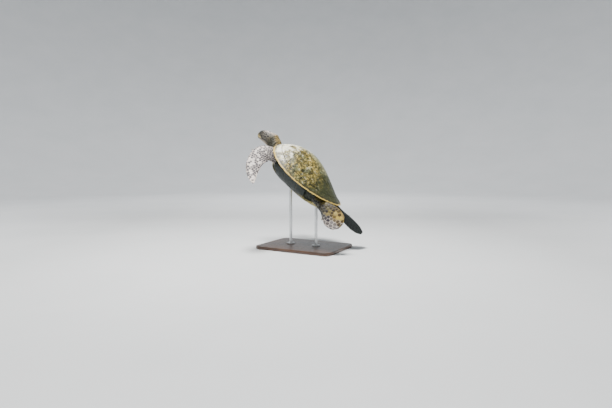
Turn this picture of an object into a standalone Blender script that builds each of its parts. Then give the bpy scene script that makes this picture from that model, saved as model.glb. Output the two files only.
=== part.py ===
"""Green sea turtle, life size, swimming upwards on a plain display stand.

Metres. The turtle is modelled in its own frame: nose towards -Y, back towards +Z, left side towards +X,
origin in the middle of the shell at the height of its rim. The empty "swim_pose" tilts it and carries it
over the stand, which stands on z = 0 with the world's origin in the middle of its underside.
"""

import math

import bmesh
import bpy
from mathutils import Euler, Matrix, Vector
from mathutils.geometry import interpolate_bezier

# The shell, in the turtle's frame
SHELL_LENGTH = 0.64
SHELL_HALF_WIDTH = 0.268
CROWN_Y = -0.075  # the dome's highest point
DOME_HEIGHT = 0.139
HULL_DEPTH = 0.118
HULL_SQUARENESS = 4.3  # exponent of the hull's section: higher is flatter below and steeper at the bridges
HULL_END, END_SQUARENESS = 0.95, 4.0  # the hull reaches further, and is squarer, at the nose and the tail
DOME_FLARE = 1.2  # exponent of the dome's section: over 1 it flattens towards the rim
DOME_LEAN = 0.38  # that exponent is this much less at the nose, which is fuller, and more at the tail
RIM_WAVE = 0.015  # the rim is this much higher at nose and tail, and lower at the flanks
RIM_DEPTH = 0.012  # thickness of the rim at its inner edge
RIM_INNER = 0.84  # where the ring of marginal plates begins, as a share of the way from crown to rim
RIM_SEAM = 0.0028  # the seam inside that ring, as a share of the same way
SCALLOP = 0.009  # notch between two marginal plates, as a share of the same way
FRONT_BLUNTNESS, REAR_BLUNTNESS = 0.44, 0.58  # exponents of the shell's outline: smaller is blunter
PLATE = 0.006
SEAM = 0.0014  # between two shell plates
GAP = 0.0004  # between other touching pieces
BED = 0.0022  # between the shell plates and the body under them, which is faceted more coarsely
MARGINALS = 12  # on each side
RIM_STEPS = 3  # for each of them
NUCHAL_ANGLE = math.radians(4.5)
NUCHAL_SEAM, TAIL_SEAM = math.radians(0.1), math.radians(0.33)  # half the seams across that ring

# Seams of the dome: a vertebral plate is a hexagon, narrow before and behind, with a corner on each side
SEAM_Y = (-0.178, -0.068, 0.046, 0.153)
SEAM_HALF = (0.050, 0.052, 0.050, 0.040)
CORNER_Y = (-0.123, -0.011, 0.100)
CORNER_HALF = (0.086, 0.086, 0.074)
FRONT_ANGLE = math.radians(12.5)
COSTAL_ANGLES = [math.radians(a) for a in (72, 99, 124)]
REAR_ANGLE = math.radians(160)

BRIDGE_Y = (-0.150, 0.118)
PLASTRON_HALF_WIDTHS = (  # (y, half width)
    (-0.272, 0.056),
    (-0.238, 0.100),
    (-0.160, 0.134),
    (0.0, 0.146),
    (0.113, 0.120),
    (0.207, 0.085),
    (0.250, 0.045),
)

# Head, in its own frame: the joint with the neck at y = 0, the tip of the beak at y = -HEAD_LENGTH
HEAD_LENGTH = 0.148
HEAD_JOINT = Vector((0.0, -0.386, 0.006))
HEAD_BOW = math.radians(20)  # the head is bent down from the line of the shell
HEAD_SECTIONS = (  # (distance behind the tip, half width, top, bottom)
    (0.000, 0.009, 0.006, -0.011),
    (0.004, 0.016, 0.017, -0.020),
    (0.012, 0.023, 0.028, -0.027),
    (0.024, 0.031, 0.037, -0.032),
    (0.040, 0.039, 0.044, -0.036),
    (0.060, 0.046, 0.049, -0.040),
    (0.085, 0.052, 0.052, -0.046),
    (0.110, 0.055, 0.052, -0.052),
    (0.138, 0.053, 0.050, -0.058),
)
HEAD_SQUARENESS = 2.3  # exponent of the head's cross-section
LIPS = ((-0.010, -0.010), (0.030, -0.013))  # the mouth's line in side view
HEAD_REGIONS = {  # outlines in side view of what is parted from the head
    "lower_jaw": (*LIPS, (0.070, -0.018), (0.086, -0.030), (0.084, -0.080), (-0.010, -0.080)),
    "beak_upper": (*LIPS, (0.054, -0.0155), (0.040, -0.003), (0.024, 0.006), (0.010, 0.013), (-0.010, 0.015)),
    "beak_lower": (*LIPS, (0.050, -0.0150), (0.038, -0.022), (0.020, -0.028), (0.006, -0.032), (-0.010, -0.034)),
}
EYE_RADIUS = 0.0145
EYE_AT = Vector((0.0285, -0.094, 0.026))

# Neck: (y of the section's centre, its half width, top, bottom), in the turtle's frame
NECK_SECTIONS = (
    (-0.235, 0.068, -0.010, -0.076),
    (-0.285, 0.070, -0.010, -0.090),
    (-0.319, 0.068, -0.002, -0.098),
    (-0.329, 0.066, 0.020, -0.098),
    (-0.349, 0.063, 0.036, -0.094),
    (-0.373, 0.059, 0.045, -0.086),
)

# Flippers: control points of the Bezier spine, where the leading edge points at the root and at the tip, and
# sections as (share of the length, chord, thickness)
FRONT_SPINE = (
    (0.105, -0.190, -0.045),
    (0.200, -0.370, 0.028),
    (0.275, -0.315, -0.185),
    (0.385, -0.120, -0.195),
)
FRONT_LEADING = ((-0.30, -0.70, 0.50), (0.30, -0.88, -0.37))
FRONT_SECTIONS = (
    (0.00, 0.090, 0.070),
    (0.15, 0.116, 0.068),
    (0.28, 0.124, 0.050),
    (0.42, 0.144, 0.031),
    (0.60, 0.124, 0.020),
    (0.80, 0.088, 0.012),
    (0.93, 0.052, 0.008),
    (1.00, 0.016, 0.005),
)
HIND_LEFT_SPINE = (
    (0.085, 0.175, -0.050),
    (0.133, 0.275, -0.036),
    (0.154, 0.360, -0.022),
    (0.158, 0.445, -0.080),
)
HIND_LEFT_LEADING = ((0.44, -0.04, -0.96), (0.32, 0.52, -0.79))
HIND_RIGHT_SPINE = (
    (-0.085, 0.175, -0.050),
    (-0.115, 0.290, -0.050),
    (-0.130, 0.400, -0.050),
    (-0.165, 0.535, -0.054),
)
HIND_RIGHT_LEADING = ((-0.98, 0.0, 0.20), (-0.98, 0.0, 0.20))
HIND_SECTIONS = (
    (0.00, 0.076, 0.060),
    (0.25, 0.086, 0.048),
    (0.42, 0.098, 0.032),
    (0.60, 0.134, 0.020),
    (0.78, 0.146, 0.012),
    (0.92, 0.114, 0.008),
    (1.00, 0.050, 0.005),
)
LEADING_SHARE = 0.42  # share of the chord that lies ahead of a flipper's spine
CLAW_LENGTH, CLAW_RADIUS, CLAW_BEND = 0.019, 0.0045, 1.1
CLAW_SHARES = {"front": 0.45, "hind": 0.60}  # where a flipper's claw sits, as a share of its length

# Tail: (y, centre z, radius)
TAIL_SECTIONS = (
    (0.240, -0.060, 0.040),
    (0.300, -0.058, 0.032),
    (0.345, -0.056, 0.021),
    (0.385, -0.060, 0.009),
    (0.400, -0.064, 0.003),
)

# The stand
BASE_LENGTH, BASE_WIDTH, BASE_THICKNESS = 0.60, 0.44, 0.022
BASE_CORNER, BASE_BEVEL = 0.05, 0.004
ROD_RADIUS = 0.011
FOOT_RADIUS, FOOT_HEIGHT = 0.030, 0.008
ROD_Y = {"front": -0.115, "rear": 0.095}
BELLY_CUT = 0.06  # how deep the cutter under the belly reaches, which ends the rods

# How the turtle hangs over the stand
SWIM_PITCH = math.radians(41.5)  # nose up
SWIM_ROLL = math.radians(5.3)  # left side up
SWIM_AT = Vector((0.0, 0.030, 0.520))


def material(name, colour, roughness, metallic=0.0):
    """A plain Principled material."""
    made = bpy.data.materials.new(name)
    made.use_nodes = True
    shader = made.node_tree.nodes["Principled BSDF"]
    shader.inputs["Base Color"].default_value = (*colour, 1.0)
    shader.inputs["Roughness"].default_value = roughness
    shader.inputs["Metallic"].default_value = metallic
    made.diffuse_color = (*colour, 1.0)
    return made


def add(name, mesh, finish, parent=None, smooth_below=35.0):
    """Puts a mesh in the scene as one named object."""
    obj = bpy.data.objects.new(name, mesh)
    bpy.context.scene.collection.objects.link(obj)
    mesh.materials.append(finish)
    mesh.shade_smooth()
    mesh.set_sharp_from_angle(angle=math.radians(smooth_below))
    obj.parent = parent
    return obj


def finish_mesh(name, bm):
    """Turns all faces outwards and makes the mesh."""
    bmesh.ops.recalc_face_normals(bm, faces=bm.faces)
    mesh = bpy.data.meshes.new(name)
    bm.to_mesh(mesh)
    bm.free()
    return mesh


def lerp(a, b, t):
    return a + (b - a) * t


def distance(a, b):
    return (Vector(a) - Vector(b)).length


def through(stations, t):
    """The values at t on a smooth curve through (t, value, ...) stations."""
    last = len(stations) - 1
    i = next((k for k in range(last) if t <= stations[k + 1][0]), last - 1)
    before, here = stations[max(i - 1, 0)], stations[i]
    there, after = stations[i + 1], stations[min(i + 2, last)]
    span = there[0] - here[0]
    u = min(max((t - here[0]) / span, 0.0), 1.0)
    values = []
    for column in range(1, len(here)):
        slope_here = (there[column] - before[column]) / (there[0] - before[0]) * span
        slope_there = (after[column] - here[column]) / (after[0] - here[0]) * span
        values.append(
            (2 * u**3 - 3 * u**2 + 1) * here[column]
            + (u**3 - 2 * u**2 + u) * slope_here
            + (3 * u**2 - 2 * u**3) * there[column]
            + (u**3 - u**2) * slope_there
        )
    return values


# ---- the shell's surfaces, over plan points (x, y) ----


def rim_half_width(y):
    """Half width of the heart-shaped outline at y."""
    s = min(max(y / SHELL_LENGTH + 0.5, 0.0), 1.0)
    widest = FRONT_BLUNTNESS / (FRONT_BLUNTNESS + REAR_BLUNTNESS)
    peak = widest**FRONT_BLUNTNESS * (1 - widest) ** REAR_BLUNTNESS
    return SHELL_HALF_WIDTH * s**FRONT_BLUNTNESS * (1 - s) ** REAR_BLUNTNESS / peak


def ring_point(angle, share):
    """Plan point at an angle round the shell (nose 0, tail pi) and a share of the way from crown to rim."""
    y = -SHELL_LENGTH / 2 * math.cos(angle)
    return rim_half_width(y) * share, lerp(CROWN_Y, y, share)


def shell_place(x, y):
    """(share of the way from crown to rim, cosine of the angle round the shell) of a plan point."""
    low, high = 1e-4, 1.5
    for _ in range(40):
        share = (low + high) / 2
        rim_y = CROWN_Y + (y - CROWN_Y) / share
        inside = abs(rim_y) < SHELL_LENGTH / 2 and abs(x) < share * rim_half_width(rim_y)
        low, high = (low, share) if inside else (share, high)
    rim_y = CROWN_Y + (y - CROWN_Y) / high
    return high, min(max(-2 * rim_y / SHELL_LENGTH, -1.0), 1.0)


def rim_height(share, cosine):
    return RIM_WAVE * (2 * cosine**2 - 1) * share**2


def dome_rise(share, cosine):
    return DOME_HEIGHT * max(1 - share**2, 0.0) ** (DOME_FLARE - DOME_LEAN * cosine)


def dome(x, y):
    share, cosine = shell_place(x, y)
    return rim_height(share, cosine) + dome_rise(share, cosine)


def hull(x, y):
    share, cosine = shell_place(x, y)
    edge = lerp(RIM_INNER, HULL_END, cosine**2)
    squareness = HULL_SQUARENESS + END_SQUARENESS * cosine**2
    inside = max(1 - (share / edge) ** squareness, 0.0)
    return rim_height(share, cosine) - RIM_DEPTH - HULL_DEPTH * inside


def under(surface, x, y, depth):
    """The point at a depth under the dome, or inside the hull, along the surface's normal."""
    step = 0.001
    slope_x = (surface(x + step, y) - surface(x - step, y)) / (2 * step)
    slope_y = (surface(x, y + step) - surface(x, y - step)) / (2 * step)
    outward = Vector((-slope_x, -slope_y, 1.0)).normalized()
    if surface is hull:
        outward.negate()
    return Vector((x, y, surface(x, y))) - outward * depth


def segment(a, b):
    return lambda q: (lerp(a[0], b[0], q), lerp(a[1], b[1], q))


def bent(a, b, c):
    """Straight from a to b and on to c."""
    return lambda q: segment(a, b)(2 * q) if q < 0.5 else segment(b, c)(2 * q - 1)


def arc(start, end):
    """Along the inner edge of the marginal ring. Negative angles are on the right side."""

    def point(q):
        angle = lerp(start, end, q)
        x, y = ring_point(abs(angle), RIM_INNER)
        return math.copysign(x, angle), y

    return point


def patch(curves, rows, columns):
    """A grid of plan points over curves laid one after the other, drawn in by half a seam on every side."""
    across = sum(distance(one(0.5), two(0.5)) for one, two in zip(curves, curves[1:]))
    along = min(distance(c(0), c(0.5)) + distance(c(0.5), c(1)) for c in curves)
    inset_row, inset_column = SEAM / 2 / across, SEAM / 2 / along
    grid = []
    for i in range(rows + 1):
        r = lerp(inset_row, 1 - inset_row, i / rows) * (len(curves) - 1)
        k = min(int(r), len(curves) - 2)
        line = []
        for j in range(columns + 1):
            q = lerp(inset_column, 1 - inset_column, j / columns)
            line.append(segment(curves[k](q), curves[k + 1](q))(r - k))
        grid.append(line)
    return grid


def plate(name, surface, grid, finish, parent, thickness=PLATE, lift=0.0):
    """A curved plate: the grid on the surface, the same grid inside it, and walls between their edges."""
    bm = bmesh.new()
    outer = [[bm.verts.new(under(surface, x, y, -lift)) for x, y in line] for line in grid]
    inner = [[bm.verts.new(under(surface, x, y, thickness)) for x, y in line] for line in grid]
    rows, columns = len(grid) - 1, len(grid[0]) - 1
    for i in range(rows):
        for j in range(columns):
            bm.faces.new((outer[i][j], outer[i][j + 1], outer[i + 1][j + 1], outer[i + 1][j]))
            bm.faces.new((inner[i][j], inner[i + 1][j], inner[i + 1][j + 1], inner[i][j + 1]))
    edge = [(0, j) for j in range(columns)] + [(i, columns) for i in range(rows)]
    edge += [(rows, columns - j) for j in range(columns)] + [(rows - i, 0) for i in range(rows)]
    for (i, j), (k, m) in zip(edge, edge[1:] + edge[:1]):
        bm.faces.new((outer[i][j], inner[i][j], inner[k][m], outer[k][m]))
    return add(name, finish_mesh(name, bm), finish, parent)


def mirrored(curve):
    return lambda q: (-curve(q)[0], curve(q)[1])


def vertebral_curves():
    """The curves across each of the five vertebral plates, from front to rear."""
    seams = [segment((-half, y), (half, y)) for y, half in zip(SEAM_Y, SEAM_HALF)]
    corners = [segment((-half, y), (half, y)) for y, half in zip(CORNER_Y, CORNER_HALF)]
    front = arc(-FRONT_ANGLE, FRONT_ANGLE)
    plates = [[front, seams[0]]]
    plates += [[seams[k], corners[k], seams[k + 1]] for k in range(3)]

    def rear(q):
        angle = lerp(-1, 1, q) * (math.pi - REAR_ANGLE)
        x, y = ring_point(math.pi - abs(angle), RIM_INNER)
        return math.copysign(x, angle), y

    return plates + [[seams[3], rear]]


def costal_curves():
    """The inner and outer curve of each of the four costal plates of the left side, from front to rear."""
    seams = [(half, y) for y, half in zip(SEAM_Y, SEAM_HALF)]
    corners = [(half, y) for y, half in zip(CORNER_Y, CORNER_HALF)]
    angles = [FRONT_ANGLE, *COSTAL_ANGLES, REAR_ANGLE]
    corners = [ring_point(FRONT_ANGLE, RIM_INNER), *corners, ring_point(REAR_ANGLE, RIM_INNER)]
    return [
        [bent(corners[k], seams[k], corners[k + 1]), arc(angles[k], angles[k + 1])]
        for k in range(4)
    ]


def rim_angles():
    """Angles of equal steps along the rim from the nuchal plate to the tail, a few to each marginal plate."""
    fine = 2000
    angles = [lerp(NUCHAL_ANGLE, math.pi, i / fine) for i in range(fine + 1)]
    lengths = [0.0]
    for a, b in zip(angles, angles[1:]):
        lengths.append(lengths[-1] + distance(ring_point(a, 1), ring_point(b, 1)))
    steps = RIM_STEPS * MARGINALS
    wanted = [lengths[-1] * k / steps for k in range(steps + 1)]
    return [angles[next(i for i, done in enumerate(lengths) if done >= w - 1e-12)] for w in wanted]


def rim_section(angle, notch, side):
    """Cross-section of the marginal ring: over the top to the edge and back underneath."""
    inner = RIM_INNER + RIM_SEAM
    edge = 1 - notch
    profile = (  # (share, depth, how much of the dome's rise it follows)
        (inner, 0.0, 1.0),
        (0.93, 0.0, 1.0),
        (edge - 0.004, 0.0005, 1.0),
        (edge, 0.0025, 1.0),
        (edge - 0.012, 0.0050, 0.4),
        (0.93, 0.0085, 0.4),
        (inner, RIM_DEPTH, 0.0),
    )
    points = []
    for share, depth, rise in profile:
        x, y = ring_point(angle, share)
        height = rim_height(share, math.cos(angle)) + rise * dome_rise(share, math.cos(angle))
        points.append(Vector((side * x, y, height - depth)))
    return points


def loft(name, rings, finish, parent, smooth_below=35.0):
    """A closed body through rings of points, with a flat cap at each end."""
    bm = bmesh.new()
    made = [[bm.verts.new(p) for p in ring] for ring in rings]
    for one, two in zip(made, made[1:]):
        for i in range(len(one)):
            j = (i + 1) % len(one)
            bm.faces.new((one[i], one[j], two[j], two[i]))
    bm.faces.new(made[0][::-1])
    bm.faces.new(made[-1])
    return add(name, finish_mesh(name, bm), finish, parent, smooth_below)


def marginals(name, side, finish, parent):
    angles = rim_angles()
    rings = []
    angles[0] += NUCHAL_SEAM
    angles[-1] -= TAIL_SEAM
    for k, angle in enumerate(angles):
        notch = SCALLOP if k % RIM_STEPS == 0 else 0.0
        rings.append(rim_section(angle, notch, side))
    return loft(name, rings, finish, parent)


def nuchal(finish, parent):
    steps = 4
    reach = NUCHAL_ANGLE - NUCHAL_SEAM
    rings = []
    for k in range(steps + 1):
        angle = lerp(-reach, reach, k / steps)
        rings.append(rim_section(abs(angle), 0.0, math.copysign(1, angle)))
    return loft("nuchal", rings, finish, parent)


def plastron_half_width(y):
    return through(PLASTRON_HALF_WIDTHS, y)[0]


def plastron_grid():
    rows, columns = 13, 8
    grid = []
    for i in range(rows + 1):
        y = lerp(PLASTRON_HALF_WIDTHS[0][0], PLASTRON_HALF_WIDTHS[-1][0], i / rows)
        half = plastron_half_width(y)
        grid.append([(lerp(-half, half, j / columns), y) for j in range(columns + 1)])
    return grid


def bridge(name, side, finish, parent):
    rows, columns = 7, 6
    grid = []
    for i in range(rows + 1):
        y = lerp(*BRIDGE_Y, i / rows)
        inner = plastron_half_width(y) + SEAM
        low, high = inner, SHELL_HALF_WIDTH
        for _ in range(30):
            x = (low + high) / 2
            low, high = (x, high) if shell_place(x, y)[0] < RIM_INNER - 0.004 else (low, x)
        grid.append([(side * lerp(inner, low, j / columns), y) for j in range(columns + 1)])
    return plate(name, hull, grid, finish, parent)


def trunk_body(name, top_depth, bottom_depth, finish, parent):
    """The body inside the shell: polar rings over the top, and back under the hull."""
    around = 28
    top_shares = (0.3, 0.55, 0.73, 0.815)
    bottom_shares = (0.815, 0.77, 0.68, 0.52, 0.28)
    bm = bmesh.new()
    rings = []
    for surface, shares, depth in ((dome, top_shares, top_depth), (hull, bottom_shares, bottom_depth)):
        for share in shares:
            ring = []
            for k in range(around):
                angle = 2 * math.pi * (k + 0.5) / around
                x, y = ring_point(angle if angle < math.pi else 2 * math.pi - angle, share)
                x = math.copysign(x, math.sin(angle))
                ring.append(bm.verts.new(under(surface, x, y, depth)))
            rings.append(ring)
    for one, two in zip(rings, rings[1:]):
        for i in range(around):
            j = (i + 1) % around
            bm.faces.new((one[i], one[j], two[j], two[i]))
    for ring, surface, depth in ((rings[0], dome, top_depth), (rings[-1], hull, bottom_depth)):
        pole = bm.verts.new(under(surface, 0.0, CROWN_Y, depth))
        for i in range(around):
            bm.faces.new((ring[i], ring[(i + 1) % around], pole))
    return add(name, finish_mesh(name, bm), finish, parent)


# ---- head, neck, flippers, tail and claws ----


def hidden(obj):
    """Marks an object as a cutter."""
    obj.hide_render = True
    obj.display_type = "WIRE"
    return obj


def cut(obj, cutter, operation="DIFFERENCE"):
    boolean = obj.modifiers.new(f"{operation.lower()} {cutter.name}", "BOOLEAN")
    boolean.object = cutter
    boolean.operation = operation
    boolean.solver = "EXACT"


def cleared(obj, *neighbours):
    """Cuts an object clear of its neighbours, with a gap."""
    for neighbour in neighbours:
        name = f"{neighbour.name}_grown"
        grown = bpy.data.objects.get(name)
        if not grown:
            grown = neighbour.copy()
            grown.name = name
            bpy.context.scene.collection.objects.link(hidden(grown))
            displace = grown.modifiers.new("grow", "DISPLACE")
            displace.mid_level = 0.0
            displace.strength = 2.5 * GAP
        cut(obj, grown)


def superellipse(half_width, top, bottom, around=20):
    """The (x, z) points of a section of the head or the neck."""
    points = []
    for k in range(around):
        angle = 2 * math.pi * (k + 0.5) / around
        x = math.copysign(abs(math.cos(angle)) ** (2 / HEAD_SQUARENESS), math.cos(angle))
        z = math.copysign(abs(math.sin(angle)) ** (2 / HEAD_SQUARENESS), math.sin(angle))
        points.append((half_width * x, lerp(bottom, top, (1 + z) / 2)))
    return points


def head_ring(back):
    """Section of the head. Its plane leans more and more, and is upright in the turtle's frame at the end."""
    lean = math.tan(HEAD_BOW) * max(back / HEAD_SECTIONS[-1][0] - 0.5, 0.0) * 2
    section = superellipse(*through(HEAD_SECTIONS, back))
    return [Vector((x, back - HEAD_LENGTH + lean * z, z)) for x, z in section]


def head_body(name, finish, parent):
    steps = 11  # closer together towards the tip
    backs = [HEAD_SECTIONS[-1][0] * (k / steps) ** 1.5 for k in range(steps + 1)]
    return loft(name, [head_ring(back) for back in backs], finish, parent)


def side_prism(name, profile, grow, parent):
    """A cutter across the head: a profile of (distance behind the tip, z) points, grown on every side."""
    points = [Vector((back - HEAD_LENGTH, z)) for back, z in profile]
    turn = math.copysign(1, sum(a.cross(b) for a, b in zip(points, points[1:] + points[:1])))
    sides = [(b - a).normalized() for a, b in zip(points, points[1:] + points[:1])]
    normals = [Vector((side.y, -side.x)) * turn for side in sides]
    moved = []
    for point, one, two in zip(points, normals[-1:] + normals[:-1], normals):
        corner = (one + two).normalized()
        moved.append(point + corner * (grow / max(corner.dot(one), 0.3)))
    reach = HEAD_LENGTH / 2  # wider than the head
    rings = [[Vector((x, p.x, p.y)) for p in moved] for x in (-reach, reach)]
    return hidden(loft(name, rings, bpy.data.materials["skin"], parent))


def head_parts(flesh, beak, eye_finish, parent):
    """The head parted along its mouth and the edges of its beak, with eyes in sockets."""
    frame = bpy.data.objects.new("head_frame", None)
    bpy.context.scene.collection.objects.link(frame)
    frame.parent = parent
    frame.location = HEAD_JOINT
    frame.rotation_euler = (HEAD_BOW, 0.0, 0.0)
    kept, removed = {}, {}
    for name, profile in HEAD_REGIONS.items():
        kept[name] = side_prism(f"{name}_inside", profile, -GAP / 2, frame)
        removed[name] = side_prism(f"{name}_outside", profile, GAP / 2, frame)
    head = head_body("head", flesh, frame)
    jaw = head_body("lower_jaw", flesh, frame)
    upper, lower = head_body("beak_upper", beak, frame), head_body("beak_lower", beak, frame)
    cut(head, removed["lower_jaw"])
    cut(head, removed["beak_upper"])
    cut(jaw, kept["lower_jaw"], "INTERSECT")
    cut(jaw, removed["beak_lower"])
    cut(upper, kept["beak_upper"], "INTERSECT")
    cut(lower, kept["beak_lower"], "INTERSECT")
    for name, side in (("left", 1), ("right", -1)):
        centre = Vector((side * EYE_AT.x, EYE_AT.y, EYE_AT.z))
        ball(f"eye_{name}", centre, EYE_RADIUS, eye_finish, frame)
        cut(head, hidden(ball(f"socket_{name}", centre, EYE_RADIUS + GAP, flesh, frame)))
    return frame


def ball(name, centre, radius, finish, parent):
    bm = bmesh.new()
    place = Matrix.Translation(centre) @ Matrix.Rotation(math.pi / 2, 4, "Y")
    bmesh.ops.create_uvsphere(bm, u_segments=12, v_segments=8, radius=radius, matrix=place)
    return add(name, finish_mesh(name, bm), finish, parent, 80.0)


def neck(finish, parent):
    """From inside the trunk, out under the nuchal plate and up to the back of the head."""
    rings = [[Vector((x, y, z)) for x, z in superellipse(*size)] for y, *size in NECK_SECTIONS]
    place = Matrix.Translation(HEAD_JOINT + Vector((0.0, GAP, 0.0))) @ Matrix.Rotation(HEAD_BOW, 4, "X")
    rings.append([place @ point for point in head_ring(HEAD_SECTIONS[-1][0])])
    return loft("neck", rings, finish, parent)


def blade_section(angle, chord, thickness):
    """Point of a flipper's section: along the chord, positive ahead of the spine, and across it."""
    along = LEADING_SHARE - (1 - math.cos(angle)) / 2
    across = math.sin(angle) * (1 + 0.35 * math.cos(angle)) / 2
    return along * chord, across * thickness


def flipper(name, spine, leading, sections, finish, parent, side=1, steps=15, around=14):
    """A flattened limb along a Bezier spine, and its rings of points."""
    points = interpolate_bezier(*(Vector(p) for p in spine), steps + 1)
    rings = []
    for k, centre in enumerate(points):
        share = k / steps
        tangent = (points[min(k + 1, steps)] - points[max(k - 1, 0)]).normalized()
        ahead = Vector(leading[0]).lerp(Vector(leading[1]), share)
        ahead = (ahead - tangent * ahead.dot(tangent)).normalized()
        across = tangent.cross(ahead)
        chord, thickness = through(sections, share)
        ring = []
        for j in range(around):
            u, v = blade_section(2 * math.pi * j / around, chord, thickness)
            p = centre + ahead * u + across * v
            ring.append(Vector((side * p.x, p.y, p.z)))
        rings.append(ring)
    return loft(name, rings, finish, parent, 50.0), rings


def round_ring(centre, one, two, radius, around):
    angles = [2 * math.pi * (k + 0.5) / around for k in range(around)]
    return [centre + one * (radius * math.cos(q)) + two * (radius * math.sin(q)) for q in angles]


def claw(name, rings, share, finish, parent):
    """A small cone, curved towards the flipper's tip, on its leading edge."""
    k = round(share * (len(rings) - 1))
    edge, middle = rings[k][0], sum(rings[k], Vector()) / len(rings[k])
    ahead = (edge - middle).normalized()
    across = ahead.cross(rings[k + 1][0] - rings[k - 1][0]).normalized()
    tipward = across.cross(ahead)
    steps, around = 4, 8
    made = []
    for i in range(steps + 1):
        bend = CLAW_BEND * i / steps
        outward = ahead * math.cos(bend) + tipward * math.sin(bend)
        way = (ahead * math.sin(bend) + tipward * (1 - math.cos(bend))) / CLAW_BEND
        centre = edge - ahead * CLAW_RADIUS + way * CLAW_LENGTH
        radius = CLAW_RADIUS * (1 - i / steps) ** 0.7 + GAP
        made.append(round_ring(centre, across, outward.cross(across), radius, around))
    return loft(name, made, finish, parent, 60.0)


def tail(finish, parent, around=10):
    across, up = Vector((1.0, 0.0, 0.0)), Vector((0.0, 0.0, 1.0))
    rings = [round_ring(Vector((0.0, y, z)), across, up, radius, around) for y, z, radius in TAIL_SECTIONS]
    return loft("tail", rings, finish, parent)


# ---- the stand ----


def stand_base(finish):
    bm = bmesh.new()
    corners, steps = [], 5
    for k in range(4):
        x = (BASE_WIDTH / 2 - BASE_CORNER) * (1 if k in (0, 3) else -1)
        y = (BASE_LENGTH / 2 - BASE_CORNER) * (1 if k in (0, 1) else -1)
        for j in range(steps + 1):
            q = math.pi / 2 * (k + j / steps)
            corners.append(bm.verts.new((x + BASE_CORNER * math.cos(q), y + BASE_CORNER * math.sin(q), 0.0)))
    bottom = bm.faces.new(corners)
    extruded = bmesh.ops.extrude_face_region(bm, geom=[bottom])
    top = [v for v in extruded["geom"] if isinstance(v, bmesh.types.BMVert)]
    bmesh.ops.translate(bm, verts=top, vec=(0.0, 0.0, BASE_THICKNESS))
    rim = [e for e in bm.edges if all(v in top for v in e.verts)]
    bmesh.ops.bevel(bm, geom=rim, offset=BASE_BEVEL, segments=2, affect="EDGES", profile=0.5)
    return add("stand_base", finish_mesh("stand_base", bm), finish, None, 30.0)


def swim_matrix():
    turn = Matrix.Rotation(-SWIM_PITCH, 4, "X") @ Matrix.Rotation(-SWIM_ROLL, 4, "Y")
    return Matrix.Translation(SWIM_AT) @ turn


def belly_height(world_y):
    """World height of the belly's middle line over a point of the base."""
    place = swim_matrix()
    front, rear = PLASTRON_HALF_WIDTHS[0][0], PLASTRON_HALF_WIDTHS[-1][0]
    for _ in range(30):
        y = (front + rear) / 2
        point = place @ Vector((0.0, y, hull(0.0, y)))
        front, rear = (y, rear) if point.y < world_y else (front, y)
    return point.z


def stand_rod(name, y, cutter, finish):
    """An upright rod with a round foot, its top cut to the slope of the belly."""
    foot = BASE_THICKNESS + GAP
    profile = (
        (FOOT_RADIUS - 0.001, foot),
        (FOOT_RADIUS, foot + 0.001),
        (FOOT_RADIUS, foot + FOOT_HEIGHT - 0.002),
        (FOOT_RADIUS - 0.002, foot + FOOT_HEIGHT),
        (ROD_RADIUS, foot + FOOT_HEIGHT),
        (ROD_RADIUS, belly_height(y) + 2 * ROD_RADIUS),
    )
    across, back = Vector((1.0, 0.0, 0.0)), Vector((0.0, 1.0, 0.0))
    rings = [round_ring(Vector((0.0, y, z)), across, back, radius, 18) for radius, z in profile]
    rod = loft(name, rings, finish, None, 40.0)
    cut(rod, cutter)
    return rod


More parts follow.
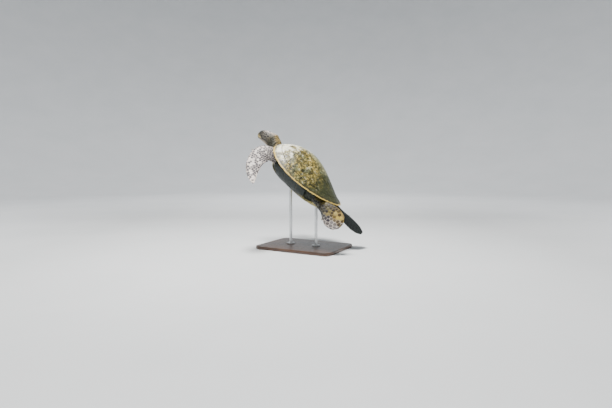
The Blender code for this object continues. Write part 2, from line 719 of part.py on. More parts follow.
def main():
    for obj in list(bpy.data.objects):
        bpy.data.objects.remove(obj)
    swim = bpy.data.objects.new("swim_pose", None)
    bpy.context.scene.collection.objects.link(swim)
    swim.matrix_world = swim_matrix()
    horn = material("carapace_scute", (0.23, 0.19, 0.09), 0.45)
    pale = material("plastron_scute", (0.55, 0.52, 0.36), 0.5)
    flesh = material("skin", (0.30, 0.30, 0.24), 0.6)
    beak = material("beak_horn", (0.34, 0.31, 0.22), 0.4)
    eye = material("eye", (0.02, 0.02, 0.015), 0.1)
    claw_horn = material("claw_horn", (0.20, 0.17, 0.12), 0.4)
    wood = material("base_wood", (0.11, 0.065, 0.035), 0.4)
    steel = material("rod_steel", (0.55, 0.55, 0.56), 0.3, 1.0)

    for k, curves in enumerate(vertebral_curves(), start=1):
        plate(f"vertebral_{k}", dome, patch(curves, 6, 5), horn, swim)
    for k, curves in enumerate(costal_curves(), start=1):
        plate(f"costal_left_{k}", dome, patch(curves, 6, 5), horn, swim)
        plate(f"costal_right_{k}", dome, patch([mirrored(c) for c in curves], 6, 5), horn, swim)
    rims = {}
    for name, side in (("left", 1), ("right", -1)):
        rims[name] = marginals(f"marginals_{name}", side, horn, swim)
        bridge(f"bridge_{name}", side, pale, swim)
    nuchal(horn, swim)
    belly_plate = plate("plastron", hull, plastron_grid(), pale, swim)
    trunk = trunk_body("trunk", PLATE + BED, PLATE + 2 * BED, flesh, swim)

    throat = neck(flesh, swim)
    cleared(throat, trunk, belly_plate)
    head_parts(flesh, beak, eye, swim)
    limbs = {}
    for name, side in (("left", 1), ("right", -1)):
        shape = FRONT_SPINE, FRONT_LEADING, FRONT_SECTIONS
        limb = flipper(f"flipper_front_{name}", *shape, flesh, swim, side)
        cleared(limb[0], trunk, rims[name], belly_plate, throat)
        limbs[f"front_{name}"] = limb
    hind = (
        ("left", HIND_LEFT_SPINE, HIND_LEFT_LEADING),
        ("right", HIND_RIGHT_SPINE, HIND_RIGHT_LEADING),
    )
    for name, spine, leading in hind:
        limb = flipper(f"flipper_hind_{name}", spine, leading, HIND_SECTIONS, flesh, swim)
        cleared(limb[0], trunk, rims[name], belly_plate)
        limbs[f"hind_{name}"] = limb
    for name, (limb, rings) in limbs.items():
        share = CLAW_SHARES[name.split("_")[0]]
        cleared(claw(f"claw_{name}", rings, share, claw_horn, swim), limb)
    cleared(tail(flesh, swim), trunk, belly_plate)

    stand_base(wood)
    belly = hidden(plate("belly_cutter", hull, plastron_grid(), pale, swim, thickness=BELLY_CUT, lift=GAP))
    for name, y in ROD_Y.items():
        stand_rod(f"stand_rod_{name}", y, belly, steel)


main()
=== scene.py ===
"""The looks of a green sea turtle on its display stand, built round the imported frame.

Metres. "Local" places are in the turtle's own frame, which is found from its shell: x to its left, y
towards its tail, z out of its back, with the origin in the middle of the shell's rim.
"""

import math

import bmesh
import bpy
import numpy as np
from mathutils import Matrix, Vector
from mathutils.bvhtree import BVHTree
from mathutils.kdtree import KDTree


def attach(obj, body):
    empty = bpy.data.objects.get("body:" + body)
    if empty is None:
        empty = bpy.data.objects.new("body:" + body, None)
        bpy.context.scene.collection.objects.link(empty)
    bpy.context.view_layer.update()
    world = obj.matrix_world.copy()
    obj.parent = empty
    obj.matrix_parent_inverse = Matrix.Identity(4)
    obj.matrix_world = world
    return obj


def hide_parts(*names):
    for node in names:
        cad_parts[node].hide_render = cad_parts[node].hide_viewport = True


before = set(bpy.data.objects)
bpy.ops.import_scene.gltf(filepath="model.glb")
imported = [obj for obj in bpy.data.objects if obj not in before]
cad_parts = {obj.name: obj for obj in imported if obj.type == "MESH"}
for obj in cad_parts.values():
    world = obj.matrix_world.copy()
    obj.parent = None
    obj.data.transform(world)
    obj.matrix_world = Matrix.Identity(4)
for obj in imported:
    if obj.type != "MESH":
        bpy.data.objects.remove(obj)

bpy.context.view_layer.update()

SIDES = ("left", "right")
VERTEBRALS = [f"vertebral_{k}" for k in range(1, 6)]
COSTALS = [f"costal_{side}_{k}" for side in SIDES for k in range(1, 5)]
MARGINALS = [f"marginals_{side}" for side in SIDES]
BRIDGES = [f"bridge_{side}" for side in SIDES]
SHELL = [*VERTEBRALS, *COSTALS, *MARGINALS, "nuchal", "plastron", *BRIDGES]
FLIPPERS = [f"flipper_{end}_{side}" for end in ("front", "hind") for side in SIDES]
FLESH = ["trunk", "neck", "head", "lower_jaw", "tail", *FLIPPERS]
HEAD, SOFT = ["head", "lower_jaw"], ["neck", "trunk", "tail"]


# ---- meshes as arrays ----


def pulled(items, field, width=1, kind=np.float32):
    """A field of all the vertices, edges or corners of a mesh: a number each, or a row each."""
    flat = np.empty(len(items) * width, kind)
    items.foreach_get(field, flat)
    return flat if width == 1 else flat.reshape(-1, width)


def coords(mesh):
    return pulled(mesh.vertices, "co", 3, float)


def normals(mesh):
    return pulled(mesh.vertex_normals, "vector", 3).astype(float)


def edges_of(mesh):
    return pulled(mesh.edges, "vertices", 2, np.int32)


def place(mesh, rows):
    mesh.vertices.foreach_set("co", np.asarray(rows, float).ravel())
    mesh.update()


def attributes(mesh, **values):
    """Stores values of the vertices under their names, and the local places, for the materials to read."""
    for name, rows in {"local": local(coords(mesh)), **values}.items():
        rows = np.asarray(rows, np.float32)
        kind, field = ("FLOAT", "value") if rows.ndim == 1 else ("FLOAT_VECTOR", "vector")
        mesh.attributes.new(name, kind, "POINT").data.foreach_set(field, rows.ravel())


def unit(rows):
    rows = np.asarray(rows, float)
    return rows / np.maximum(np.linalg.norm(rows, axis=-1, keepdims=True), 1e-12)


def lengths(rows):
    return np.linalg.norm(rows, axis=-1)


def smoothstep(low, high, values):
    t = np.clip((values - low) / (high - low), 0, 1)
    return t * t * (3 - 2 * t)


def bell(values):
    """1 at 0, falling to 0 on both sides."""
    return np.exp(-(values**2))


def cad(*names):
    """The vertices of CAD nodes, in the world."""
    return np.vstack([coords(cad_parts[n].data) for n in names])


def centre(*names):
    """The middle of the boxes of CAD nodes."""
    points = cad(*names)
    return (points.min(0) + points.max(0)) / 2


def search_tree(points):
    tree = KDTree(len(points))
    for k, p in enumerate(points):
        tree.insert(p, k)
    tree.balance()
    return tree


def surface(*nodes):
    """A search tree over the faces of CAD nodes, and the node of each face."""
    corners, faces, owners = [], [], []
    for node in nodes:
        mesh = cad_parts[node].data
        first = len(corners)
        corners.extend(v.co.copy() for v in mesh.vertices)
        faces.extend([first + k for k in polygon.vertices] for polygon in mesh.polygons)
        owners.extend([node] * len(mesh.polygons))
    return BVHTree.FromPolygons(corners, faces), owners


# ---- the turtle's own frame ----


def turtle_frame():
    """(origin, axes as columns) of the local frame: the ends of the rim give its length."""
    left_plates, right_plates = (cad(*[n for n in COSTALS if side in n]).mean(0) for side in SIDES)
    left = unit(left_plates - right_plates)
    nose, rim = cad("nuchal"), cad(*MARGINALS)
    apart = lengths(nose[:, None] - rim[None])
    i, j = np.unravel_index(apart.argmax(), apart.shape)
    along = rim[j] - nose[i]
    tailward = unit(along - left * (along @ left))
    middle = (nose[i] + rim[j]) / 2
    sideways = ((left_plates + right_plates) / 2 - middle) @ left
    return middle + left * sideways, np.column_stack([left, tailward, np.cross(left, tailward)])


ORIGIN, AXES = turtle_frame()


def local(points):
    return (np.asarray(points) - ORIGIN) @ AXES


SHELL_LENGTH = np.ptp(local(cad("nuchal", *MARGINALS))[:, 1])


# ---- pieces ----


def linked(name, data):
    """A new object in the scene."""
    obj = bpy.data.objects.new(name, data)
    bpy.context.scene.collection.objects.link(obj)
    return obj


def finished(name, mesh, material, slot, *nodes):
    """Puts a piece in the scene, riding on the body, in place of its CAD nodes."""
    obj = linked(name, mesh)
    mesh.materials.clear()
    mesh.materials.append(material)
    mesh.shade_smooth()
    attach(obj, "root")
    if nodes:
        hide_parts(*nodes)


def opened(mesh):
    """A mesh opened for an edit, which written() ends."""
    bm = bmesh.new()
    bm.from_mesh(mesh)
    return bm


def written(bm, mesh):
    bm.to_mesh(mesh)
    bm.free()
    return mesh


def joined_quads(node):
    """A CAD node's mesh with its doubled vertices joined and its triangles paired."""
    bm = opened(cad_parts[node].data)
    bmesh.ops.remove_doubles(bm, verts=bm.verts, dist=1e-6)
    bmesh.ops.join_triangles(bm, faces=bm.faces, angle_face_threshold=0.7, angle_shape_threshold=0.9)
    return written(bm, bpy.data.meshes.new(node + "_fine"))


def modified(mesh, *modifiers):
    """The mesh after a row of modifiers, each (type, settings)."""
    obj = linked("working", mesh)
    for k, (kind, settings) in enumerate(modifiers):
        made = obj.modifiers.new(f"{kind}_{k}", kind)
        for key, value in settings.items():
            setattr(made, key, value)
    depsgraph = bpy.context.evaluated_depsgraph_get()
    result = bpy.data.meshes.new_from_object(obj.evaluated_get(depsgraph))
    bpy.data.objects.remove(obj)
    bpy.data.meshes.remove(mesh)
    return result


def rounded(node, bevel, levels):
    """A CAD node's solid with rounded edges and smooth faces."""
    return modified(
        joined_quads(node),
        ("BEVEL", {"width": bevel, "segments": 2, "angle_limit": math.radians(33)}),
        ("SUBSURF", {"levels": levels, "render_levels": levels}),
    )


# ---- materials ----


def srgb(red, green, blue):
    """A colour as read from a screen, 0 to 255, as Blender's linear colour."""
    channels = [c / 255 for c in (red, green, blue)]
    return (*[c / 12.92 if c < 0.04045 else ((c + 0.055) / 1.055) ** 2.4 for c in channels], 1.0)


class Finish:
    """A procedural material in the making. Each method adds a node and returns the socket it ends in."""

    def __init__(self, name, **shader):
        self.material = bpy.data.materials.new(name)
        self.material.use_nodes = True
        self.tree = self.material.node_tree
        self.shader = self.tree.nodes["Principled BSDF"]
        for socket, value in shader.items():
            self.shader.inputs[socket.replace("_", " ").title().replace("Ior", "IOR")].default_value = value

    def node(self, kind, settings=(), inputs=(), out=0):
        made = self.tree.nodes.new("ShaderNode" + kind)
        for key, value in dict(settings).items():
            setattr(made, key, value)
        for key, value in dict(inputs).items():
            if isinstance(value, bpy.types.NodeSocket):
                self.tree.links.new(value, made.inputs[key])
            else:
                made.inputs[key].default_value = value
        return made.outputs[out]

    def read(self, name, out="Fac"):
        return self.node("Attribute", {"attribute_name": name}, out=out)

    def noise(self, vector, scale, detail=3.0, rough=0.55, warp=0.0, out="Fac"):
        shape = {"Scale": scale, "Detail": detail, "Roughness": rough, "Distortion": warp}
        return self.node("TexNoise", {}, {"Vector": vector, **shape}, out)

    def math(self, operation, a, b=0.5, c=0.5):
        return self.node("Math", {"operation": operation}, {0: a, 1: b, 2: c})

    def times(self, a, b):
        return self.math("MULTIPLY", a, b)

    def plus(self, value, more, times):
        """The value and so many times another."""
        return self.math("MULTIPLY_ADD", more, times, value)

    def range(self, value, low, high, to_low=0.0, to_high=1.0):
        settings = {"interpolation_type": "SMOOTHSTEP"}
        inputs = {"Value": value, "From Min": low, "From Max": high, "To Min": to_low, "To Max": to_high}
        return self.node("MapRange", settings, inputs)

    def mix(self, share, a, b, blend="MIX"):
        settings = {"data_type": "RGBA", "blend_type": blend}
        return self.node("Mix", settings, {0: share, 6: a, 7: b}, 2)

    def coats(self, colour, *layers):
        """A colour under coats of others, each (share, colour)."""
        for share, other in layers:
            colour = self.mix(share, colour, other)
        return colour

    def parts(self, vector):
        """The three numbers of a vector."""
        return self.node("SeparateXYZ", {}, {0: vector}).node.outputs[:3]

    def stretch(self, vector, *scale):
        return self.node("Mapping", {}, {"Vector": vector, "Scale": scale})

    def shaken(self, vector, noise, *reach):
        """Places moved by a coloured noise, so that what is drawn from them bends."""
        settings = {"operation": "MULTIPLY_ADD"}
        return self.node("VectorMath", settings, {0: noise, 1: reach, 2: vector})

    def ramp(self, value, *stops):
        colour = self.node("ValToRGB", {}, {0: value})
        elements = colour.node.color_ramp.elements
        for k, (position, shade) in enumerate(stops):
            element = elements[k] if k < 2 else elements.new(position)
            element.position, element.color = position, shade
        return colour

    def bumps(self, *layers):
        """The normal of layers of relief, each (height, distance)."""
        inputs = {"Strength": 1.0}
        for height, distance in layers:
            inputs.update({"Height": height, "Distance": distance})
            inputs["Normal"] = self.node("Bump", {}, inputs)
        return inputs["Normal"]

    def done(self, colour, normal=None, roughness=None):
        for name, socket in (("Base Color", colour), ("Normal", normal), ("Roughness", roughness)):
            if socket is not None:
                self.tree.links.new(socket, self.shader.inputs[name])
        return self.material


# Colours of the shell
CREAM, STRAW, YELLOW = srgb(236, 230, 196), srgb(186, 168, 92), srgb(146, 122, 46)
OLIVE, BROWN, UMBER, MOSS = srgb(90, 90, 46), srgb(78, 56, 22), srgb(34, 32, 16), srgb(48, 58, 28)
BONE, SAGE, GREY_OLIVE = srgb(240, 238, 228), srgb(178, 186, 156), srgb(96, 106, 72)
# The last two colours are the flanks' dusky green underneath, partly the horn's own colour and partly
# painted shade.
RIM_YELLOW, FLANK_DUSK_AND_SHADE, DEEP_FLANK_DUSK_AND_SHADE = srgb(206, 166, 72), srgb(15, 29, 25), srgb(11, 20, 17)

# Colours of the scales
BONE_WHITE, WARM_WHITE = srgb(232, 224, 228), srgb(238, 228, 214)
OCHRE, SEPIA = srgb(208, 172, 60), srgb(44, 28, 13)
SLATE, PLUM = srgb(26, 28, 40), srgb(46, 40, 56)
SHADOW = srgb(48, 62, 60)  # painted shade and dusk: the dusky green that skin and scales are multiplied by where they are dusky or painted as lying in shade


def carapace_horn():
    """Olive horn, mottled and rayed with yellow, brown and cream, and pale at the rim; its pale front is
    painted highlight and partly bleached horn, with a painted highlight along the ridge and the right half,
    painted shade over the rear and a painted shadow inside the rim.
    """
    f = Finish("carapace_horn", roughness=0.42, specular_ior_level=0.4)
    at, ray = f.read("local", "Vector"), f.read("ray", "Vector")
    edge, along, rim = f.read("edge"), f.read("lengthwise"), f.read("rim")
    broad, blotch = f.noise(at, 10.0, 4.0, 0.6), f.noise(at, 52.0, 6.0, 0.72)
    bent = f.shaken(ray, f.noise(at, 40.0, 3.0, out="Color"), 0.4, 0.4, 0.4)
    streaks = f.noise(bent, 3.2, 6.0, 0.72)
    colour = f.ramp(
        f.plus(f.times(streaks, 0.38), blotch, 0.62),
        (0.38, UMBER), (0.43, MOSS), (0.46, BROWN), (0.49, OLIVE),
        (0.53, YELLOW), (0.58, STRAW), (0.66, CREAM),
    )
    greener = f.range(f.noise(at, 15.0, 6.0, 0.75), 0.47, 0.60, 0.0, 0.75)
    flecks = f.noise(at, 32.0, 6.0, 0.74)
    # Painted highlight: the ridge and the right half of the dome paler grey-green.
    painted_ridge_highlight = f.range(f.plus(f.parts(at)[0], broad, 0.12), 0.0, 0.15, 0.70, 0.0)
    # Painted shade: the rear of the dome darker.
    darker = f.range(f.plus(along, broad, 0.6), 0.82, 1.10, 0.0, 0.90)
    # Painted highlight, partly bleached horn: the front of the dome pale cream.
    front_highlight_and_bleach = f.plus(f.plus(along, broad, 0.30), f.noise(at, 19.0, 6.0, 0.76), 1.05)
    pale = f.ramp(f.noise(at, 44.0, 5.0, 0.6), (0.34, SAGE), (0.44, CREAM), (0.54, BONE))
    uneven = f.plus(rim, blotch, 0.06)
    # Painted shadow: a dark band just inside the rim's yellow edge, under its upturned lip.
    painted_lip_shadow = f.times(f.range(uneven, 0.955, 0.980), f.range(broad, 0.42, 0.55, 0.2, 0.8))
    seam = f.range(f.math("ABSOLUTE", f.read("seam")), 0.0004, 0.0013, 1.0, 0.0)
    colour = f.coats(
        colour,
        (greener, f.mix(f.range(blotch, 0.40, 0.60), UMBER, GREY_OLIVE)),
        (f.range(flecks, 0.39, 0.48, 0.92, 0.0), UMBER),
        (f.range(flecks, 0.56, 0.68, 0.0, 0.65), CREAM),
        (painted_ridge_highlight, f.mix(f.range(blotch, 0.38, 0.62), OLIVE, SAGE)),
        (darker, f.mix(blotch, UMBER, MOSS)),
        (f.range(front_highlight_and_bleach, 0.80, 0.98, 0.94, 0.0), pale),
        (painted_lip_shadow, UMBER),
        (f.range(uneven, 0.996, 1.010, 0.0, 0.9), f.mix(broad, RIM_YELLOW, STRAW)),
        (f.times(seam, 0.8), UMBER),
    )
    rings = f.math("SINE", f.plus(f.times(edge, 1500.0), broad, 16.0))
    lumps, pits = f.noise(at, 60.0, 5.0), f.noise(at, 420.0, 2.0)
    normal = f.bumps((rings, 0.00006), (seam, -0.0008), (lumps, 0.0014), (pits, 0.00010))
    roughness = f.math("MAXIMUM", f.range(blotch, 0.3, 0.7, 0.34, 0.56), f.times(seam, 0.95))
    return f.done(colour, normal, roughness)


def plastron_horn():
    """Pale horn of the underside, dusky green at the flanks, partly the horn's own colour and partly
    painted shade, with a worn, scratched face.
    """
    f = Finish("plastron_horn", roughness=0.48, specular_ior_level=0.35)
    at = f.read("local", "Vector")
    patches, fine = f.noise(at, 9.0, 4.0, 0.6, 0.6), f.noise(at, 46.0, 5.0, 0.6)
    creams = (0.32, srgb(176, 156, 92)), (0.5, srgb(204, 192, 134)), (0.7, srgb(166, 158, 100))
    # partly the horn's own dusk, partly painted shade on the flanks
    dusky = f.range(f.plus(f.read("flank"), patches, 0.4), 0.50, 0.90)
    seam = f.range(f.math("ABSOLUTE", f.read("seam")), 0.0005, 0.0016, 1.0, 0.0)
    colour = f.coats(
        f.ramp(patches, *creams),
        (f.range(fine, 0.5, 0.7, 0.0, 0.4), srgb(128, 108, 58)),
        (dusky, f.mix(fine, FLANK_DUSK_AND_SHADE, DEEP_FLANK_DUSK_AND_SHADE)),
        (f.times(seam, 0.75), srgb(70, 64, 42)),
    )
    return f.done(colour, f.bumps((seam, -0.0010), (fine, 0.0010)), f.range(fine, 0.3, 0.7, 0.4, 0.6))


# ---- the shell ----

DOME_BEVEL, RIM_BEVEL, BELLY_BEVEL = 0.0013, 0.0011, 0.0014
PLATE_RISE, RISE_WIDTH = 0.0011, 0.009  # how far a plate's middle stands above its edge, over what width
RING_PITCH, RING_DEPTH = 0.0075, 0.00010  # growth rings
DOME_GROWTH, BELLY_GROWTH = 0.003, 0.007  # plates are thicker inside, down to the skin under them
LUMPS = 0.0005  # height of the slow waves on a plate
STEPS_PER_MARGINAL = 3  # stations of the rim's ring in the CAD for each marginal plate
SAME_STATION = 0.02  # vertices at a station differ by less than this angle
FACE = 0.55  # how much a plate's outer face looks outwards, at least
BELLY_FACE = 0.3
SEAM_REACH, SEAM_DEPTH = 0.0017, 0.0009
PLASTRON_SEAMS = (-0.243, -0.190, -0.111, -0.014, 0.093, 0.172)  # along the shell
PLASTRON_SLANT = 0.22  # the seams' outer ends lie further forward


def lengthwise(points):
    """0 at the nose end of the shell, 1 at its tail end."""
    return local(points)[:, 1] / SHELL_LENGTH + 0.5


def wavy(points, size, seed):
    """A smooth random number from -1 to 1 for each point: waves in seeded directions, of about one size."""
    rng = np.random.default_rng(seed)
    total = np.zeros(len(points))
    for _ in range(9):
        direction = unit(rng.normal(size=3)) * 2 * math.pi / (size * rng.uniform(0.6, 1.7))
        total += np.sin(points @ direction + rng.uniform(0, 2 * math.pi))
    return total / 4.5


def outward_share(points, facing, below=False):
    """1 on a plate's outer face, -1 on its inner face, near 0 on its walls."""
    here = local(points) * (1, 0.6, 1)
    here[:, 2] = -np.abs(here[:, 2]) - 0.2 if below else here[:, 2] + 0.35
    return np.einsum("ij,ij->i", facing, unit(here) @ AXES.T)


def groove(seam):
    """How deep the groove along a seam is, so far from it."""
    return SEAM_DEPTH * bell(seam / SEAM_REACH)


def growth_plate(node, number, material):
    """One plate of the dome: rounded, slightly raised, with growth rings and rays from its growth point."""
    mesh = rounded(node, DOME_BEVEL, 3)
    points, facing = coords(mesh), normals(mesh)
    upright = outward_share(points, facing)
    walls = search_tree(points[np.abs(upright) < FACE])
    edge = np.array([walls.find(p)[2] for p in points])
    top = upright > FACE
    rings = np.sin(2 * math.pi * edge / RING_PITCH + 2 * wavy(points, 0.05, number))
    rise = PLATE_RISE * -np.exp(-edge / RISE_WIDTH) + RING_DEPTH * rings * smoothstep(0.002, 0.006, edge)
    rise += LUMPS * wavy(points, 0.035, 40 + number)
    points = points + facing * (rise * top + DOME_GROWTH * (upright < -FACE))[:, None]
    place(mesh, points)
    here = local(points)
    growth = here[top].mean(0) + (0, 0.10 * np.ptp(here[:, 1]), 0)
    reach = here - growth
    angle, radius = np.arctan2(reach[:, 1], reach[:, 0]), lengths(reach)
    attributes(
        mesh,
        ray=np.column_stack([1.6 * np.cos(angle) + 5 * number, 1.6 * np.sin(angle), radius * 7]),
        edge=edge,
        lengthwise=lengthwise(points),
        rim=np.zeros(len(points)),
        seam=np.ones(len(points)),
    )
    finished(node + "_horn", mesh, material, "horn", node)


def round_crown(here):
    """(angle, distance) of local places round the top of the dome, seen from above. The nose is at 0."""
    dome = local(cad(*VERTEBRALS))
    plan = here[:, :2] - (0, dome[dome[:, 2].argmax(), 1])
    return np.arctan2(np.abs(plan[:, 0]), -plan[:, 1]), lengths(plan)


def rim_stations(node):
    """(angles, reach of the rim at them) of the CAD's sections of a marginal ring."""
    angle, radius = round_crown(local(cad(node)))
    order = np.argsort(angle)
    groups = np.split(order, np.flatnonzero(np.diff(angle[order]) > SAME_STATION) + 1)
    outer = [g[radius[g].argmax()] for g in groups]
    return angle[outer], radius[outer]


def marginal_ring(node, number, material):
    """A side's twelve marginal plates, with a groove between each two."""
    angles, reach = rim_stations(node)
    mesh = rounded(node, RIM_BEVEL, 3)
    points, facing = coords(mesh), normals(mesh)
    here = local(points)
    angle, radius = round_crown(here)
    station = np.interp(angle, angles, np.arange(len(angles)))
    nearest = np.rint(station / STEPS_PER_MARGINAL).astype(int) * STEPS_PER_MARGINAL
    nearest = np.clip(nearest, STEPS_PER_MARGINAL, len(angles) - 1 - STEPS_PER_MARGINAL)
    seam = (angle - angles[nearest]) * radius
    share = radius / np.interp(angle, angles, reach)
    lumps = LUMPS * wavy(points, 0.04, number) * (facing @ AXES[:, 2] > 0)
    points = points + facing * (lumps - groove(seam))[:, None]
    place(mesh, points)
    plate = np.floor(station / STEPS_PER_MARGINAL)
    attributes(
        mesh,
        local=here,
        ray=np.column_stack([station * 0.9, plate * 3 + 9 * number, share * 4]),
        edge=np.minimum(np.abs(seam), np.abs(1 - share) * radius),
        lengthwise=lengthwise(points),
        rim=share,
        seam=seam,
    )
    finished(node + "_horn", mesh, material, "horn", node)


def belly_plate(node, number, material):
    """The plastron or a bridge, with the seams of its plates."""
    mesh = rounded(node, BELLY_BEVEL, 4 if node == "plastron" else 3)
    points, facing = coords(mesh), normals(mesh)
    here = local(points)
    crossing = here[:, 1] + PLASTRON_SLANT * np.abs(here[:, 0])
    seams = [crossing - y for y in PLASTRON_SEAMS]
    if node == "plastron":
        seams.append(here[:, 0] + 0.0015 * np.sin(here[:, 1] * 60))
    seams = np.array(seams)
    seam = seams[np.abs(seams).argmin(0), np.arange(len(points))]
    upright = outward_share(points, facing, below=True)
    shift = np.where(upright > BELLY_FACE, 0.0006 * wavy(points, 0.05, number) - groove(seam), 0)
    shift += BELLY_GROWTH * (upright < -0.5)
    place(mesh, points + facing * shift[:, None])
    widest = np.abs(local(cad(*BRIDGES))[:, 0]).max()
    attributes(mesh, local=here, flank=np.abs(here[:, 0]) / widest, seam=seam)
    finished(node + "_horn", mesh, material, "plastron_horn", node)


def dress_shell():
    horn, pale = carapace_horn(), plastron_horn()
    for number, node in enumerate([*VERTEBRALS, *COSTALS, "nuchal"]):
        growth_plate(node, number, horn)
    for number, node in enumerate(MARGINALS, start=20):
        marginal_ring(node, number, horn)
    for number, node in enumerate(["plastron", *BRIDGES], start=30):
        belly_plate(node, number, pale)


dress_shell()


# ---- the skin ----

CLOSING = 0.0011  # how far each flesh solid grows, so that gaps close and thin edges last
COAT = 0.0009  # how far the skin lies inside the flesh solids, under the scales
SKIN_GRAIN = 0.0023  # size of a skin face; halved on the head, and twice more round the eyes
EVEN = [0.5, -0.515]  # a step of smoothing and a longer one back, which keep the volume
SOFTEN = [0.5]
SKIN_ROUNDS, HEAD_ROUNDS, NAPE_ROUNDS, BEAK_ROUNDS = 34, 10, 90, 14  # of smoothing
FINE_REACHES = (0.007, 0.005)  # how far round the eyes the skin is cut finer, once and again
THIN_COAT = 0.36  # the skin lies no deeper than this share of the body's thickness
HEAD_END = 0.105  # behind the eyes, where the head's finer skin ends
NAPE_AT, NAPE_WIDTH = 0.088, 0.022  # behind the eyes, where the head meets the neck
HEAD_BOW = math.radians(20)  # the head is bent down from the line of the shell
THICK = 0.1  # what counts as thick, where a ray finds no far side
FOLDS = (0.0135, 0.0024)  # pitch and depth of the wrinkles of loose skin
FINE_FOLDS = (0.0082, 0.0007)
NOSTRIL = (0.0065, 0.0055, -0.0055)  # aside, behind the beak's tip and under the line of the eyes
NOSTRIL_RADIUS, NOSTRIL_DEPTH = 0.0022, 0.0030

EYE_RADIUS = float(np.ptp(cad("eye_left"), axis=0).mean() / 2)
EYE_AXIS = (0.93, -0.28, 0.20)  # where the left eye looks, in the head's frame
EYE_BED = 0.0035  # how far under the eyeball's face the skin goes
LID_THICKNESS = 0.0018
LID_REACH = 0.007  # how far round the eyeball the lids shape the skin
LID_HALF_LENGTH, LID_HALF_HEIGHT = math.radians(59), math.radians(38)
LID_TILT = math.radians(12)  # the front corner of the eye is lower
LID_SWELL, LID_CREASE = 0.0011, 0.0007
LID_SNAP = 0.045  # skin this near to the opening's edge is drawn onto it


def head_frame():
    """(point between the eyes, axes as columns) of the head: x to its left, y backwards, z up."""
    c, s = math.cos(HEAD_BOW), math.sin(HEAD_BOW)
    return centre("eye_left", "eye_right"), AXES @ np.array([[1, 0, 0], [0, c, -s], [0, s, c]])


BROW, HEAD_AXES = head_frame()


def in_head(points):
    return (np.asarray(points) - BROW) @ HEAD_AXES


def from_head(points):
    return np.asarray(points) @ HEAD_AXES.T + BROW


def main_island(mesh):
    """True for the vertices of the largest connected part."""
    one, two = edges_of(mesh).T
    label = np.arange(len(mesh.vertices))
    while True:
        low = np.minimum(label[one], label[two])
        spread = label.copy()
        np.minimum.at(spread, one, low)
        np.minimum.at(spread, two, low)
        spread = spread[spread]
        if np.array_equal(spread, label):
            break
        label = spread
    return label == np.bincount(label).argmax()


def around(values, edges):
    """The mean of a number over each vertex's neighbours."""
    one, two = edges.T
    total = np.bincount(one, values[two], len(values)) + np.bincount(two, values[one], len(values))
    return total / np.bincount(edges.ravel(), minlength=len(values))


def relaxed(points, edges, steps, share=1.0):
    """Points after smoothing steps, each towards the neighbours, or away from them where it is under 0."""
    for step in steps:
        mean = np.column_stack([around(points[:, k], edges) for k in range(3)])
        points = points + (mean - points) * (step * share)
    return points


def spread_over(values, edges, rounds):
    """A number for each vertex, blurred along the edges."""
    for _ in range(rounds):
        values = around(values, edges)
    return values


def refined(mesh, chosen):
    """Cuts every face between chosen vertices in four."""
    bm = opened(mesh)
    bm.verts.ensure_lookup_table()
    edges = [e for e in bm.edges if chosen[e.verts[0].index] and chosen[e.verts[1].index]]
    bmesh.ops.subdivide_edges(bm, edges=edges, cuts=1, use_grid_fill=True)
    written(bm, mesh)


def eye_frame(side):
    """(centre, outward, upward, forward) of an eye."""
    mirror = 1 if side == "left" else -1
    outward = HEAD_AXES @ unit([EYE_AXIS[0] * mirror, EYE_AXIS[1], EYE_AXIS[2]])
    forward = unit(-HEAD_AXES[:, 1] + outward * (HEAD_AXES[:, 1] @ outward))
    upward = unit(np.cross(forward, outward)) * -mirror
    return centre(f"eye_{side}"), outward, upward, forward


def from_eyes(points):
    """How far each point is from the middle of the nearer eye."""
    return np.min([lengths(points - centre(f"eye_{side}")) for side in SIDES], axis=0)


def lid_opening(points, side):
    """Under 1 inside the almond between the lids, over 1 outside it, seen from the eye's centre."""
    middle, outward, upward, forward = eye_frame(side)
    reach = points - middle
    ahead = reach @ outward
    across = np.arctan2(reach @ forward, ahead)
    above = np.arctan2(reach @ upward, ahead)
    c, s = math.cos(LID_TILT), math.sin(LID_TILT)
    along, rise = c * across - s * above, s * across + c * above
    size = np.array([[1e-3], [8.0]]) * np.ones(len(points))  # bounds of the like almond through each point
    for _ in range(24):
        middling = size.mean(0)
        bow = np.clip(1 - np.abs(along / LID_HALF_LENGTH / middling) ** 1.9, 0, 1)
        bow = bow * LID_HALF_HEIGHT * middling
        size = np.where(np.abs(rise) > bow, (middling, size[1]), (size[0], middling))
    return np.where(ahead > 0, size.mean(0), 9.0), lengths(reach)


def with_lids(points):
    """Opens the eyes: the skin between the lids goes behind the eyeball, and the lids get a thick edge."""
    for side in SIDES:
        middle, outward = eye_frame(side)[:2]
        opening, radius = lid_opening(points, side)
        near = radius < EYE_RADIUS + LID_REACH
        edge = near & (np.abs(opening - 1) < LID_SNAP)
        pole = middle + outward * radius[:, None]
        drawn = pole + (points - pole) / opening[:, None]
        drawn = middle + unit(drawn - middle) * radius[:, None]
        points = np.where(edge[:, None], drawn, points)
        inside = near & (opening < 1) & ~edge
        away = unit(points - middle)
        swell = LID_SWELL * bell((opening - 1.25) / 0.20) - LID_CREASE * bell((opening - 1.75) / 0.12)
        points = points + away * (swell * near * (opening >= 1 - LID_SNAP))[:, None]
        points[inside] = middle + away[inside] * (EYE_RADIUS - EYE_BED)
    return points


def with_nostrils(points, facing):
    here = in_head(points)
    aside, behind, under = NOSTRIL
    tip = in_head(cad("beak_upper"))[:, 1].min()
    for mirror in (1, -1):
        pit = lengths(here - (aside * mirror, tip + behind, under))
        points = points - facing * (NOSTRIL_DEPTH * bell(pit / NOSTRIL_RADIUS))[:, None]
    return points


def folded(points, facing, soft):
    """Wrinkles of loose skin, mostly across the body, where soft is over 0."""
    x, y, _ = local(points).T
    warp = 0.008 * wavy(points, 0.09, 3) + 0.004 * wavy(points, 0.04, 4)
    depth = 0
    for (pitch, deep), along in ((FOLDS, y + warp), (FINE_FOLDS, y * 0.6 + x * 0.8 + warp * 2)):
        depth += deep * (0.5 - 0.5 * np.sin(2 * math.pi * along / pitch)) ** 2
    return points - facing * (depth * soft)[:, None]


